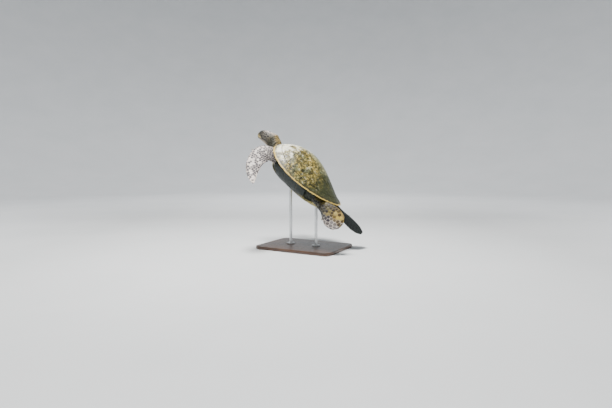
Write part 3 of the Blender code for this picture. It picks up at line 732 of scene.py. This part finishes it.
def skin_mesh():
    """The flesh solids and a ball for each eye, grown together, smoothed, and finer towards the eyes."""
    bm = bmesh.new()
    for node in FLESH:
        mesh = joined_quads(node)
        place(mesh, coords(mesh) + normals(mesh) * CLOSING)
        bm.from_mesh(mesh)
        bpy.data.meshes.remove(mesh)
    for side in SIDES:
        made = bmesh.ops.create_icosphere(bm, subdivisions=4, radius=EYE_RADIUS + LID_THICKNESS)
        bmesh.ops.translate(bm, verts=made["verts"], vec=Vector(centre(f"eye_{side}")))
    mesh = written(bm, bpy.data.meshes.new("skin"))
    mesh = modified(mesh, ("REMESH", {"mode": "VOXEL", "voxel_size": SKIN_GRAIN}))
    keep = main_island(mesh)
    bm = opened(mesh)
    bmesh.ops.delete(bm, geom=[v for v, kept in zip(bm.verts, keep) if not kept], context="VERTS")
    written(bm, mesh)
    edges = edges_of(mesh)
    points = relaxed(coords(mesh), edges, EVEN * SKIN_ROUNDS)
    nape = bell((in_head(points)[:, 1] - NAPE_AT) / NAPE_WIDTH)
    place(mesh, relaxed(points, edges, SOFTEN * NAPE_ROUNDS, nape[:, None]))
    refined(mesh, in_head(coords(mesh))[:, 1] < HEAD_END)
    for reach in FINE_REACHES:
        refined(mesh, from_eyes(coords(mesh)) < EYE_RADIUS + reach)
    points = coords(mesh)
    on_head = in_head(points)[:, 1:2] < HEAD_END
    place(mesh, relaxed(points, edges_of(mesh), EVEN * HEAD_ROUNDS, on_head))
    return mesh


def depth_under(points, facing, tree):
    """How thick the body is under each point."""
    found = [tree.ray_cast(p - n * 2e-4, -n)[3] for p, n in zip(points, facing)]
    return np.array([THICK if d is None else d for d in found])


def tree_of(mesh):
    return BVHTree.FromPolygons([Vector(p) for p in coords(mesh)], [p.vertices[:] for p in mesh.polygons])


def make_skin():
    """(the one skin of all the flesh, each vertex's CAD node, how thick the body is there)."""
    mesh = skin_mesh()
    tree, owners = surface(*FLESH)
    points, facing, edges = coords(mesh), normals(mesh), edges_of(mesh)
    node = np.array([owners[tree.find_nearest(p)[2]] for p in points])
    thickness = spread_over(depth_under(points, facing, tree_of(mesh)), edges, 2)
    inward = np.minimum(CLOSING + COAT, THIN_COAT * thickness)
    place(mesh, points - facing * inward[:, None])
    soft = spread_over(np.isin(node, SOFT).astype(float), edges, 12)
    points = folded(coords(mesh), normals(mesh), soft)
    place(mesh, with_lids(with_nostrils(points, normals(mesh))))
    return mesh, node, thickness


skin, skin_node, skin_thickness = make_skin()


# ---- scales ----

ROUND = 12  # corners of a scale
SPOKES = 2 * math.pi * (np.arange(ROUND) + 0.5) / ROUND
SCALE_RINGS = ((0.55, 0.96), (0.86, 0.66), (1.0, -0.30))  # (share of the way out, height), from the middle
SCALE_GAP = 0.00035
LOWEST, HIGHEST = 0.00035, 0.0010  # how high a scale's middle may stand
WIDEST = 1.75  # how far a scale may reach, as a share of the size it was given
NARROWEST = 0.35  # how near to its middle a neighbour may bound it
LEAST = 0.3  # how far it reaches at least, with the gap taken off
CORNERS = 16.0  # how sharp the corners between a scale's sides are
NEIGHBOURS = 24  # scales that may bound a scale
SAME_FACE = -0.3  # scales on the two faces of a flipper differ more in direction
CROWDING = 0.43  # how near to each other scales may be, as a share of their sizes
TRIES = 9  # points drawn for each scale that there is room for
PATCH = 0.0014  # half the size of a scale on the bake's map
HIDDEN_UNDER = 0.014  # skin that has a shell plate this close over it gets no scales
SHELL_CLEARANCE, BEAK_CLEARANCE = 0.006, 0.0016
LID_MARGIN = 1.12  # scales end this far outside the opening between the lids
FLIPPER_SPACING = {"front": 0.0112, "hind": 0.0160}
NECK_SPACING, LID_SPACING = 0.0072, 0.0042
WIDER_OUT, WIDER_ON_HEAD = 0.0030, 0.0045  # added at a flipper's edge and its tip, and away from the eyes
SHELL_TREE, _ = surface(*SHELL)
BEAK_TREE, _ = surface("beak_upper", "beak_lower")
SKIN_TREE = tree_of(skin)

# The head's large shields, on and left of the midline: place from the eyes and half the size, mm
SHIELDS = (
    (7.5, -36, 4, 8.5), (8.5, -21, 14, 8.5),  # prefrontals, a pair each
    (0, -3, 21, 9.5),  # frontal
    (21.5, -6, 16, 11), (22.5, 13, 18, 10),  # over the eye
    (0, 21, 25, 15), (19, 44, 24, 15), (17.5, 71, 22, 12.5),  # frontoparietal, parietals
    (36, 24, 10, 9.5), (42, 22, -5, 8.5), (42, 18, -20, 8.5),  # behind the eye, from the top down
    (40, 2, -26, 8.5), (36, -18, -24, 7),  # cheek
    (48, 38, 0, 10.5), (50, 38, -20, 11), (38, 48, 14, 9.5), (51, 60, -10, 11.5),  # temple
    (46, 20, -38, 9.5), (49, 45, -40, 10.5), (42, 70, 10, 9.5),
)


def on_skin(points):
    """(nearest places on the skin, the normals there, the faces)."""
    found = [SKIN_TREE.find_nearest(p) for p in points]
    return [np.array([f[k] for f in found]) for k in range(3)]


def cells(at, facing, size):
    """Each scale's own axes along the skin, and its reach in each direction up to its neighbours."""
    ahead = np.where(np.abs(facing @ AXES[:, 1])[:, None] > 0.9, AXES[:, 0], AXES[:, 1])
    one = unit(np.cross(facing, ahead))
    two = np.cross(facing, one)
    tree, count = search_tree(at), min(NEIGHBOURS, len(at) - 1)
    near = np.array([[n[1] for n in tree.find_n(p, count + 1)][1:] for p in at])
    delta = at[near] - at[:, None]
    chord = lengths(delta)
    cosine = np.einsum("ik,ijk->ij", facing, facing[near])
    bend = np.arccos(np.clip(cosine, -1, 1))
    arc = chord * np.where(bend > 1e-3, bend / 2 / np.sin(np.maximum(bend, 1e-3) / 2), 1.0)
    angle = np.arctan2(np.einsum("ik,ijk->ij", two, delta), np.einsum("ik,ijk->ij", one, delta))
    half = (arc**2 + size[:, None] ** 2 - size[near] ** 2) / (2 * arc)
    half = np.clip(half, NARROWEST * size[:, None], None)
    half = np.where(cosine < SAME_FACE, 1e3, half)
    slant = np.clip(np.cos(SPOKES - angle[..., None]), 0, None)
    crowd = ((slant / half[..., None]) ** CORNERS).sum(1) + (1 / (WIDEST * size[:, None])) ** CORNERS
    return one, two, crowd ** (-1 / CORNERS)


def scattered(rng, chosen, spacing, taken):
    """Points on the skin's chosen faces, no nearer to each other than the spacing, which is a function."""
    tris = skin_triangles[chosen[skin_triangles].all(1)]
    corners = coords(skin)[tris]
    slope = np.cross(corners[:, 1] - corners[:, 0], corners[:, 2] - corners[:, 0])
    area = lengths(slope) / 2
    want = float((area / (0.5 * spacing(corners.mean(1)) ** 2)).sum())
    pick = rng.choice(len(tris), int(want * TRIES), p=area / area.sum())
    u, v = rng.random((2, len(pick)))
    flip = u + v > 1
    u, v = np.where(flip, 1 - u, u), np.where(flip, 1 - v, v)
    a, b, c = corners[pick].transpose(1, 0, 2)
    points = a + (b - a) * u[:, None] + (c - a) * v[:, None]
    gap = spacing(points)
    cell = float(gap.max())
    grid, kept, sizes = {}, [], []
    for p, size, n in taken:
        grid.setdefault(tuple((p // cell).astype(int)), []).append((p, 2 * size, n))
    for p, g, n in zip(points, gap, unit(slope)[pick]):
        i, j, k = (p // cell).astype(int)
        cubes = [(i + x, j + y, k + z) for x in (-1, 0, 1) for y in (-1, 0, 1) for z in (-1, 0, 1)]
        near = [entry for cube in cubes for entry in grid.get(cube, ())]
        if not any((d := p - q) @ d < (CROWDING * (g + h)) ** 2 and n @ m > SAME_FACE for q, h, m in near):
            grid.setdefault((i, j, k), []).append((p, g, n))
            kept.append(p)
            sizes.append(g / 2)
    return np.array(kept), np.array(sizes)


def evened(at, size, fixed, rounds=3):
    """The scales' middles, drawn towards the middles of their cells."""
    at, facing, _ = on_skin(at)
    for _ in range(rounds):
        one, two, reach = cells(at, facing, size)
        weight = (reach**2).sum(1)
        along = (reach**3 * np.cos(SPOKES)).sum(1) * 2 / 3 / weight
        beside = (reach**3 * np.sin(SPOKES)).sum(1) * 2 / 3 / weight
        step = one * along[:, None] + two * beside[:, None]
        step[fixed] = 0
        at, facing, _ = on_skin(at + step)
    return at, facing


def scale_piece(name, at, facing, size, axes, height, pattern, dusk, material):
    """Solid scales over the skin: each is a low dome with a steep edge that goes into the skin."""
    one, two, reach = axes
    count = len(at)
    owner = np.repeat(np.arange(count), ROUND)
    reach = np.maximum(reach - SCALE_GAP, LEAST * size[:, None]).reshape(-1, 1)
    rise = np.clip(height * size, LOWEST, HIGHEST)[:, None]
    root = skin_map[on_skin(at)[2]]
    rows, rims, places = [at + facing * rise], [np.zeros(count)], [root]
    turn = np.tile(np.column_stack([np.cos(SPOKES), np.sin(SPOKES)]), (count, 1))
    way = one[owner] * turn[:, :1] + two[owner] * turn[:, 1:]
    spot, before = at[owner], 0.0
    for share, level in SCALE_RINGS:
        spot, normal, _ = on_skin(spot + way * ((share - before) * reach))
        way = unit(way - normal * np.einsum("ij,ij->i", way, normal)[:, None])
        rows.append(spot + normal * (level * rise[owner]))
        rims.append(np.full(count * ROUND, share))
        places.append(root[owner] + turn * PATCH * share)
        before = share
    k = np.arange(count * ROUND)
    after = np.where(k % ROUND == ROUND - 1, k + 1 - ROUND, k + 1)
    low, *higher = (count + ring * count * ROUND for ring in range(len(SCALE_RINGS)))
    faces = np.column_stack([owner, low + k, low + after]).tolist()
    for high in higher:
        faces += np.column_stack([low + k, high + k, high + after, low + after]).tolist()
        low = high
    mesh = bpy.data.meshes.new(name)
    mesh.from_pydata(np.vstack(rows).tolist(), [], faces)
    owners = np.concatenate([np.arange(count), *[owner] * len(SCALE_RINGS)])
    attributes(mesh, rim=np.concatenate(rims), pattern=pattern[owners], dusk=dusk[owners])
    corner = pulled(mesh.loops, "vertex_index", kind=np.int32)
    layer = mesh.uv_layers.new(name="OFBake")
    layer.data.foreach_set("uv", np.vstack(places)[corner].astype(np.float32).ravel())
    finished(name, mesh, material, "skin")


def unwrapped(mesh):
    """Gives the skin its map for the bake, and returns the place of each face's middle on it."""
    obj = linked("unwrapping", mesh)
    bpy.context.view_layer.objects.active = obj
    obj.select_set(True)
    mesh.uv_layers.new(name="OFBake")
    bpy.ops.object.mode_set(mode="EDIT")
    bpy.ops.mesh.select_all(action="SELECT")
    bpy.ops.uv.smart_project(angle_limit=1.15, island_margin=0.004)
    bpy.ops.object.mode_set(mode="OBJECT")
    starts, totals = (pulled(mesh.polygons, field, kind=np.int32) for field in ("loop_start", "loop_total"))
    sums = np.add.reduceat(pulled(mesh.uv_layers["OFBake"].data, "uv", 2), starts)
    bpy.data.objects.remove(obj)
    return sums / totals[:, None]


skin_map = unwrapped(skin)
skin.calc_loop_triangles()
skin_triangles = pulled(skin.loop_triangles, "vertices", 3, np.int32)


def covered(points, facing):
    """True where a shell plate lies close over the skin, or the beak is."""
    under = [SHELL_TREE.ray_cast(p, n, HIDDEN_UNDER)[0] is not None for p, n in zip(points, facing)]
    beak = [BEAK_TREE.find_nearest(p, BEAK_CLEARANCE)[0] is not None for p in points]
    return np.array(under) | np.array(beak)


def bare(points):
    """True between the eyelids."""
    inside = np.zeros(len(points), bool)
    for side in SIDES:
        opening, radius = lid_opening(points, side)
        inside |= (opening < LID_MARGIN) & (radius < EYE_RADIUS + LID_REACH)
    return inside


def flipper_spacing(node):
    """How far apart a flipper's scales are: further along its edges and towards its tip."""
    chosen = skin_node == node
    places, thickness = coords(skin)[chosen], skin_thickness[chosen]
    tree, root = search_tree(places), centre("trunk")
    far = lengths(places - root).max()

    def spacing(points):
        thick = np.array([thickness[tree.find(p)[1]] for p in points])
        edge = 1 - smoothstep(0.008, 0.019, thick)
        out = smoothstep(0.45, 0.9, lengths(points - root) / far)
        return FLIPPER_SPACING[node.split("_")[1]] + WIDER_OUT * edge + WIDER_OUT * out

    return spacing


def head_spacing(points):
    return LID_SPACING + WIDER_ON_HEAD * smoothstep(0.002, 0.016, from_eyes(points) - EYE_RADIUS)


def neck_spacing(points):
    return np.full(len(points), NECK_SPACING)


REGIONS = [  # (name, CAD nodes, spacing of the scales, their height as a share of their size)
    ("scales_head", HEAD, head_spacing, 0.075),
    *[("scales_" + node[8:], [node], flipper_spacing(node), 0.10) for node in FLIPPERS],
    ("scales_neck", SOFT, neck_spacing, 0.055),
]


def all_scales(rng):
    """(places, normals, sizes, region of each) of all scales, kept apart from each other."""
    rows = [(x * side, y, z, half) for x, y, z, half in SHIELDS for side in ((1, -1) if x else (1,))]
    rows = np.array(rows) / 1000
    at, size = on_skin(from_head(rows[:, :3]))[0], rows[:, 3]
    fixed = len(at)
    region = np.zeros(fixed, int)
    by_shell = [SHELL_TREE.find_nearest(v.co, SHELL_CLEARANCE)[0] is not None for v in skin.vertices]
    for number, (_, nodes, spacing, _) in enumerate(REGIONS):
        chosen = np.isin(skin_node, nodes) & ~(np.array(by_shell) & np.isin(skin_node, SOFT))
        more, sizes = scattered(rng, chosen, spacing, list(zip(at, size, on_skin(at)[1])))
        at, size = np.vstack([at, more]), np.concatenate([size, sizes])
        region = np.concatenate([region, np.full(len(more), number)])
    at, facing = evened(at, size, np.arange(len(at)) < fixed)
    keep = ~(bare(at) | covered(at, facing))
    return at[keep], facing[keep], size[keep], region[keep]


def markings(points, facing, node):
    """What skin and scales share: how dark a scale's middle may be, its pale border, warmth, and dusk with
    painted shade, which is heaviest under the shell, on the right hind flipper and on the sides of the head
    and neck.
    """
    here, snout = local(points), in_head(points)
    up, brow = facing @ AXES[:, 2], facing @ HEAD_AXES[:, 2]
    out = lengths(here - local(centre("trunk")))
    patchy = 0.5 + 0.5 * wavy(points, 0.11, 11)
    finer = 0.5 + 0.5 * wavy(points, 0.045, 12)
    marks = np.zeros((4, len(points)))

    def mark(where, *values):
        """Sets the marks of some of the points, in the order of the marks."""
        for row, value in zip(marks, values):
            row[where] = np.broadcast_to(value, row.shape)[where]

    shoulder = 1 - smoothstep(0.30, 0.42, out)
    mark(
        np.char.startswith(node, "flipper_front"),
        0.88 + 0.12 * shoulder - 0.36 * patchy * (1 - shoulder),
        0.02 + 0.05 * patchy,
        np.where(up < -0.25, 0.24, 0.04),
        0.20 * shoulder,
    )

    # Painted shade: the right hind flipper is painted all dark, its scales without pale borders and fully
    # shaded, and the left one is shaded near its root at the shell.
    left = here[:, 0] > 0
    root = 1 - smoothstep(0.36, 0.47, out)
    rise = here[:, 2] - local(centre("flipper_hind_left"))[2]
    stained = smoothstep(-0.015, 0.025, rise + 0.05 * (finer - 0.5))
    mark(
        np.char.startswith(node, "flipper_hind"),
        np.where(left, 1.0 - 0.45 * stained, 1.0),
        np.where(left, 0.02 + 0.06 * finer, -0.05),
        np.where(left, 0.12 + 0.84 * stained, 0.10),
        np.where(left, 0.85 * root, 1.0),
    )

    # Painted highlight: the top of the head is paler, with less dusk and painted shade, and its sides and
    # snout are darker.
    crown_highlight = smoothstep(0.62, 0.95, brow) * smoothstep(-0.018, 0.012, snout[:, 1])
    throat = smoothstep(0.25, 0.85, -brow)
    tip = 1 - smoothstep(-0.030, 0.0, snout[:, 1])
    hindhead = smoothstep(0.045, 0.09, snout[:, 1])
    mark(
        np.isin(node, HEAD),
        0.98 - 0.22 * crown_highlight - 0.70 * throat,
        0.13 + 0.05 * crown_highlight + 0.12 * throat,
        np.clip(0.30 - 0.24 * crown_highlight + 0.25 * throat + 0.30 * hindhead, 0, 1),
        (0.15 + 0.65 * (1 - crown_highlight) + 0.2 * tip) * (1 - throat),
    )

    # The sides of the neck get the most dusk and painted shade, its top and underside less; the trunk
    # behind the neck's root, under the shell, gets painted shade.
    nape, below = smoothstep(0.55, 0.95, up), smoothstep(0.35, 0.85, -up)
    trunk_under_shell_shade = smoothstep(-0.30, -0.22, here[:, 1])  # painted shade behind the neck's root, under the shell
    mark(
        np.isin(node, SOFT),
        0.72 + 0.20 * nape - 0.5 * below,
        0.22,
        0.60 + 0.35 * nape - 0.15 * below,
        0.94 * (1 - 0.9 * nape) * (1 - 0.8 * below) + trunk_under_shell_shade,
    )
    marks[3] = np.clip(marks[3], 0, 1)
    return marks.T


def dress_scales():
    """Scales all over, in a piece for each region. Each reaches as far as its neighbours let it."""
    horn = scale_horn()
    rng = np.random.default_rng(7)
    at, facing, size, region = all_scales(rng)
    axes = cells(at, facing, size)
    node = skin_node[[skin.polygons[int(k)].vertices[0] for k in on_skin(at)[2]]]
    dark, border, warm, dusk = markings(at, facing, node).T
    count = len(at)
    spotted = rng.random(count) < np.where(region == 0, 1.0, dark)
    dark = np.where(spotted, 0.72 + 0.28 * rng.random(count) ** 0.5, 0.25 * rng.random(count))
    border = border + rng.uniform(-0.05, 0.08, count)
    warm = np.clip(warm + rng.uniform(-0.10, 0.10, count), 0, 1)
    pattern = np.column_stack([dark, border, warm])
    for number, (name, _, _, height) in enumerate(REGIONS):
        own = region == number
        own_axes = [part[own] for part in axes]
        scale_piece(name, at[own], facing[own], size[own], own_axes, height, pattern[own], dusk[own], horn)


def scale_horn():
    """Scales with a dark middle and a pale border, both as wide, dark and warm as each scale says."""
    f = Finish("scale_horn", roughness=0.5, specular_ior_level=0.35)
    at, rim = f.read("local", "Vector"), f.read("rim")
    dark, border, warm = f.parts(f.read("pattern", "Vector"))
    fine = f.noise(at, 340.0, 3.0)
    pale = f.mix(f.range(fine, 0.3, 0.7), f.mix(warm, BONE_WHITE, OCHRE), f.mix(warm, WARM_WHITE, STRAW))
    deep = f.mix(f.range(fine, 0.35, 0.65), f.mix(warm, SLATE, SEPIA), f.mix(warm, PLUM, BROWN))
    inside = f.math("SUBTRACT", f.math("SUBTRACT", 1.0, border), f.plus(rim, fine, 0.26))
    colour = f.mix(f.times(f.range(inside, -0.18, -0.06), dark), pale, deep)
    # painted shade: each scale darkened towards dusky green as far as its dusk and painted shade say
    colour = f.mix(f.read("dusk"), colour, SHADOW, "MULTIPLY")
    normal = f.bumps((f.noise(at, 260.0, 4.0), 0.00035), (f.noise(at, 1100.0, 2.0), 0.00006))
    return f.done(colour, normal, f.range(fine, 0.3, 0.7, 0.42, 0.62))


def bare_skin():
    """Leathery skin between the scales, as warm as they are and as darkened by dusk and painted shade,
    creased on the neck.
    """
    f = Finish("bare_skin", roughness=0.62, specular_ior_level=0.3)
    at = f.read("local", "Vector")
    warm, dusk, _ = f.parts(f.read("pattern", "Vector"))
    fine, broad = f.noise(at, 150.0, 4.0), f.noise(at, 18.0, 3.0)
    yellow = f.mix(f.range(broad, 0.3, 0.7), srgb(138, 108, 50), srgb(172, 146, 84))
    colour = f.mix(warm, srgb(206, 196, 188), yellow)
    darker = f.mix(warm, srgb(140, 130, 126), srgb(92, 60, 26))
    colour = f.mix(f.range(fine, 0.45, 0.70, 0.0, 0.4), colour, darker)
    # painted shade: the skin darkened towards dusky green as far as its dusk and painted shade say
    colour = f.mix(dusk, colour, SHADOW, "MULTIPLY")
    return f.done(colour, f.bumps((fine, 0.0006), (f.noise(at, 700.0, 3.0), 0.00015)))


dress_scales()
attributes(skin, pattern=markings(coords(skin), normals(skin), skin_node)[:, [2, 3, 0]])
finished("skin_piece", skin, bare_skin(), "skin", *FLESH)


# ---- eyes, beak, claws and stand ----

IRIS, PUPIL = 0.80, 0.40  # radians from the middle of the eye
CORNEA = 0.0007  # how far it bulges
BEAK_GROWTH, BEAK_GRAIN = 0.0003, 0.0009  # how far the beak grows to meet the skin, and its faces' size
CLAW_ROOT = 0.0025  # how deep a claw starts in the skin
CLAW_BEVEL, BASE_BEVEL, ROD_BEVEL = 0.0003, 0.0012, 0.0008


def eyeball(side, material):
    """A wet eyeball with a dark iris and a bulging cornea."""
    middle, outward, upward, forward = eye_frame(side)
    bm = bmesh.new()
    bmesh.ops.create_uvsphere(bm, u_segments=64, v_segments=40, radius=EYE_RADIUS)
    mesh = written(bm, bpy.data.meshes.new(f"eye_{side}_ball"))
    points = coords(mesh) @ np.column_stack([upward, forward, outward]).T
    angle = np.arccos(np.clip(unit(points) @ outward, -1, 1))
    bulge = 1 + CORNEA / EYE_RADIUS * np.clip(1 - (angle / IRIS) ** 2, 0, 1)
    place(mesh, points * bulge[:, None] + middle)
    attributes(mesh, angle=angle)
    finished(f"eye_{side}_ball", mesh, material, "eye", f"eye_{side}")


def wet_eye():
    """Nearly black, with a brown iris and a darker edge round it."""
    f = Finish("wet_eye", roughness=0.06, specular_ior_level=0.6, coat_weight=1.0, coat_roughness=0.02)
    at, angle = f.read("local", "Vector"), f.read("angle")
    iris = f.mix(f.noise(at, 900.0, 4.0), srgb(46, 32, 16), srgb(92, 66, 30))
    colour = f.mix(f.range(angle, PUPIL, PUPIL + 0.06), srgb(6, 6, 7), iris)
    return f.done(f.mix(f.range(angle, IRIS - 0.12, IRIS), colour, srgb(16, 13, 11)))


def beak_horn():
    """Horn with fine upright ridges, dark at the base and worn pale at the cutting edge."""
    f = Finish("beak_horn", roughness=0.42, specular_ior_level=0.4)
    at, edge = f.read("local", "Vector"), f.read("mouth")
    ridges, mottle = f.noise(f.stretch(at, 1.0, 1.0, 0.14), 420.0, 3.0), f.noise(at, 90.0, 4.0)
    colour = f.coats(
        srgb(96, 84, 56),
        (f.range(mottle, 0.35, 0.65), srgb(66, 60, 44)),
        (f.range(edge, 0.0015, 0.010, 0.85, 0.0), srgb(196, 178, 124)),
        (f.range(ridges, 0.45, 0.7, 0.0, 0.35), srgb(140, 122, 80)),
    )
    return f.done(colour, f.bumps((ridges, 0.0005), (f.noise(at, 500.0, 3.0), 0.0001)))


def beak_part(node, other, material):
    """Half of the beak: its solid, remeshed finely and smoothed, and grown a little to meet the skin."""
    solid = joined_quads(node)
    place(solid, coords(solid) + normals(solid) * BEAK_GROWTH)
    mesh = modified(solid, ("REMESH", {"mode": "VOXEL", "voxel_size": BEAK_GRAIN}))
    points = relaxed(coords(mesh), edges_of(mesh), EVEN * BEAK_ROUNDS)
    tree, _ = surface(other)
    place(mesh, points)
    attributes(mesh, mouth=[tree.find_nearest(p)[3] for p in points])
    finished(node + "_horn", mesh, material, "beak", node)


def claw_part(node, material):
    """A claw, moved inwards until its root is in the skin."""
    mesh = rounded(node, CLAW_BEVEL, 2)
    points = coords(mesh)
    near, facing, _ = on_skin(points)
    above = np.einsum("ij,ij->i", points - near, facing)
    root = above.argmin()
    place(mesh, points - facing[root] * max(0.0, above[root] + CLAW_ROOT))
    attributes(mesh)
    finished(node + "_horn", mesh, material, "claw", node)


def claw_horn():
    f = Finish("claw_horn", roughness=0.35, specular_ior_level=0.45)
    stripes = f.noise(f.stretch(f.read("local", "Vector"), 1.0, 0.2, 0.2), 700.0, 3.0)
    return f.done(f.mix(stripes, srgb(60, 50, 36), srgb(150, 132, 96)), f.bumps((stripes, 0.0002)))


def hardwood():
    """Dark stained wood: long grain along the base, fine pores and a satin varnish."""
    f = Finish("hardwood", roughness=0.35, specular_ior_level=0.45, coat_weight=0.35, coat_roughness=0.22)
    at = f.node("TexCoord", out=3)
    drawn = f.shaken(at, f.noise(at, 2.2, 3.0, out="Color"), 0.10, 0.25, 0.10)
    grain = f.noise(f.stretch(drawn, 26.0, 1.3, 26.0), 1.6, 5.0, 0.6)
    pores = f.noise(f.stretch(drawn, 420.0, 14.0, 420.0), 1.0, 2.0)
    colour = f.ramp(
        grain,
        (0.30, srgb(38, 24, 15)), (0.48, srgb(66, 41, 24)),
        (0.60, srgb(86, 55, 32)), (0.74, srgb(50, 31, 19)),
    )
    colour = f.mix(f.range(pores, 0.55, 0.70, 0.0, 0.55), colour, srgb(26, 16, 10))
    normal = f.bumps((grain, 0.0004), (pores, -0.00015))
    return f.done(colour, normal, f.range(pores, 0.4, 0.7, 0.30, 0.48))


def brushed_steel():
    """Steel rubbed round the rods."""
    f = Finish("brushed_steel", metallic=1.0, roughness=0.3)
    rubbed = f.noise(f.stretch(f.node("TexCoord", out=3), 30.0, 30.0, 2600.0), 1.0, 3.0)
    colour = f.mix(rubbed, srgb(186, 188, 190), srgb(214, 215, 216))
    return f.done(colour, f.bumps((rubbed, 0.00008)), f.range(rubbed, 0.3, 0.7, 0.24, 0.38))


def dress_fittings():
    wet, horn, nail = wet_eye(), beak_horn(), claw_horn()
    for side in SIDES:
        eyeball(side, wet)
    beak_part("beak_upper", "beak_lower", horn)
    beak_part("beak_lower", "beak_upper", horn)
    for end in ("front", "hind"):
        for side in SIDES:
            claw_part(f"claw_{end}_{side}", nail)
    base = rounded("stand_base", BASE_BEVEL, 2)
    finished("stand_base_wood", base, hardwood(), "base", "stand_base")
    steel = brushed_steel()
    for node in ("stand_rod_front", "stand_rod_rear"):
        finished(node + "_steel", rounded(node, ROD_BEVEL, 2), steel, "rod", node)


dress_fittings()


# ---- stage, light and camera ----

CAMERA_BEARING = math.radians(118.7)  # round the stand, from the side the nose points to, towards its left
CAMERA_PITCH = math.radians(5.0)  # looking down
CAMERA_DISTANCE = 3.2  # from the aim
AIM_HEIGHT, AIM_ASIDE = 0.32, 0.011
LENS, SENSOR = 26.0, 36.0
FLAT_TO, FAR, BOWL_HEIGHT = 7.0, 17.0, 9.5  # the floor is flat in the middle, and its far rim is this high
RINGS, AROUND = 40, 96  # of the floor
WASH_POWER = 430
UP = Vector((0, 0, 1))
SKY_COLOUR, SKY_STRENGTH = (0.90, 0.93, 0.96, 1), 0.40


def circle(count, start=0.0):
    """(cosine, sine) of evenly spaced angles."""
    turns = [start + 2 * math.pi * k / count for k in range(count)]
    return [(math.cos(turn), math.sin(turn)) for turn in turns]


def stage():
    """A pale floor that curves up far away on all sides."""
    bm = bmesh.new()
    last = None
    for i in range(RINGS + 1):
        radius = FAR * (i + 0.5) / RINGS
        z = BOWL_HEIGHT * max(0.0, (radius - FLAT_TO) / (FAR - FLAT_TO)) ** 2
        ring = [bm.verts.new((radius * c, radius * s, z)) for c, s in circle(AROUND)]
        if last is None:
            bm.faces.new(ring)
        else:
            for k in range(AROUND):
                bm.faces.new((last[k - 1], ring[k - 1], ring[k], last[k]))
        last = ring
    mesh = written(bm, bpy.data.meshes.new("floor"))
    mesh.shade_smooth()
    f = Finish("floor_paint", roughness=0.85)
    drift = f.noise(f.node("TexCoord", out=3), 1.3)
    mesh.materials.append(f.done(f.ramp(drift, (0.3, srgb(224, 227, 229)), (0.7, srgb(230, 232, 234)))))
    linked("floor", mesh)


def aimed(name, data, spot, along):
    """A lamp or a camera in the scene, looking along a direction."""
    obj = linked(name, data)
    obj.location = spot
    obj.rotation_euler = along.to_track_quat("-Z", "Y").to_euler()
    return obj


def lamp(name, spot, along, size, power, colour=(1.0, 1.0, 1.0)):
    data = bpy.data.lights.new(name, "AREA")
    data.shape, data.size, data.energy, data.color = "DISK", size, power, colour
    aimed(name, data, spot, along)


def soft_light(name, towards, distance, size, power, colour):
    """A round lamp that shines on the turtle from a direction."""
    offset = towards.normalized() * distance
    lamp(name, Vector(ORIGIN) + offset, -offset, size, power, colour)


def wash(name, outward):
    """A lamp over the turtle that shines away from it, on the far side of the bowl."""
    lamp(name, outward * 3.0 + UP * 4.5, outward * 8.0 - UP * 2.0, 3.0, WASH_POWER)


def camera():
    """Puts the camera in place, and returns the directions to it and to its right."""
    c, s = math.cos(CAMERA_BEARING), math.sin(CAMERA_BEARING)
    back, right = Vector((s, -c, 0.0)), Vector((c, s, 0.0))
    data = bpy.data.cameras.new("camera")
    data.lens, data.sensor_width = LENS, SENSOR
    offset = back * math.cos(CAMERA_PITCH) + UP * math.sin(CAMERA_PITCH)
    aim = right * AIM_ASIDE + UP * AIM_HEIGHT
    bpy.context.scene.camera = aimed("camera", data, aim + offset * CAMERA_DISTANCE, -offset)
    return back, right


stage()
to_camera, to_right = camera()
soft_light("key", UP - to_right * 0.16 + to_camera * 0.20, 3.2, 1.0, 280, (1.0, 0.985, 0.95))
soft_light("fill", UP * 0.45 + to_right * 0.5 + to_camera, 4.5, 3.0, 10, (0.95, 0.98, 1.0))
for k, (c, s) in enumerate(circle(4, CAMERA_BEARING)):
    wash(f"wash_{k}", Vector((s, -c, 0.0)))
sky = bpy.data.worlds.new("studio")
sky.use_nodes = True
sky.node_tree.nodes["Background"].inputs["Color"].default_value = SKY_COLOUR
sky.node_tree.nodes["Background"].inputs["Strength"].default_value = SKY_STRENGTH
bpy.context.scene.world = sky

bpy.context.view_layer.update()
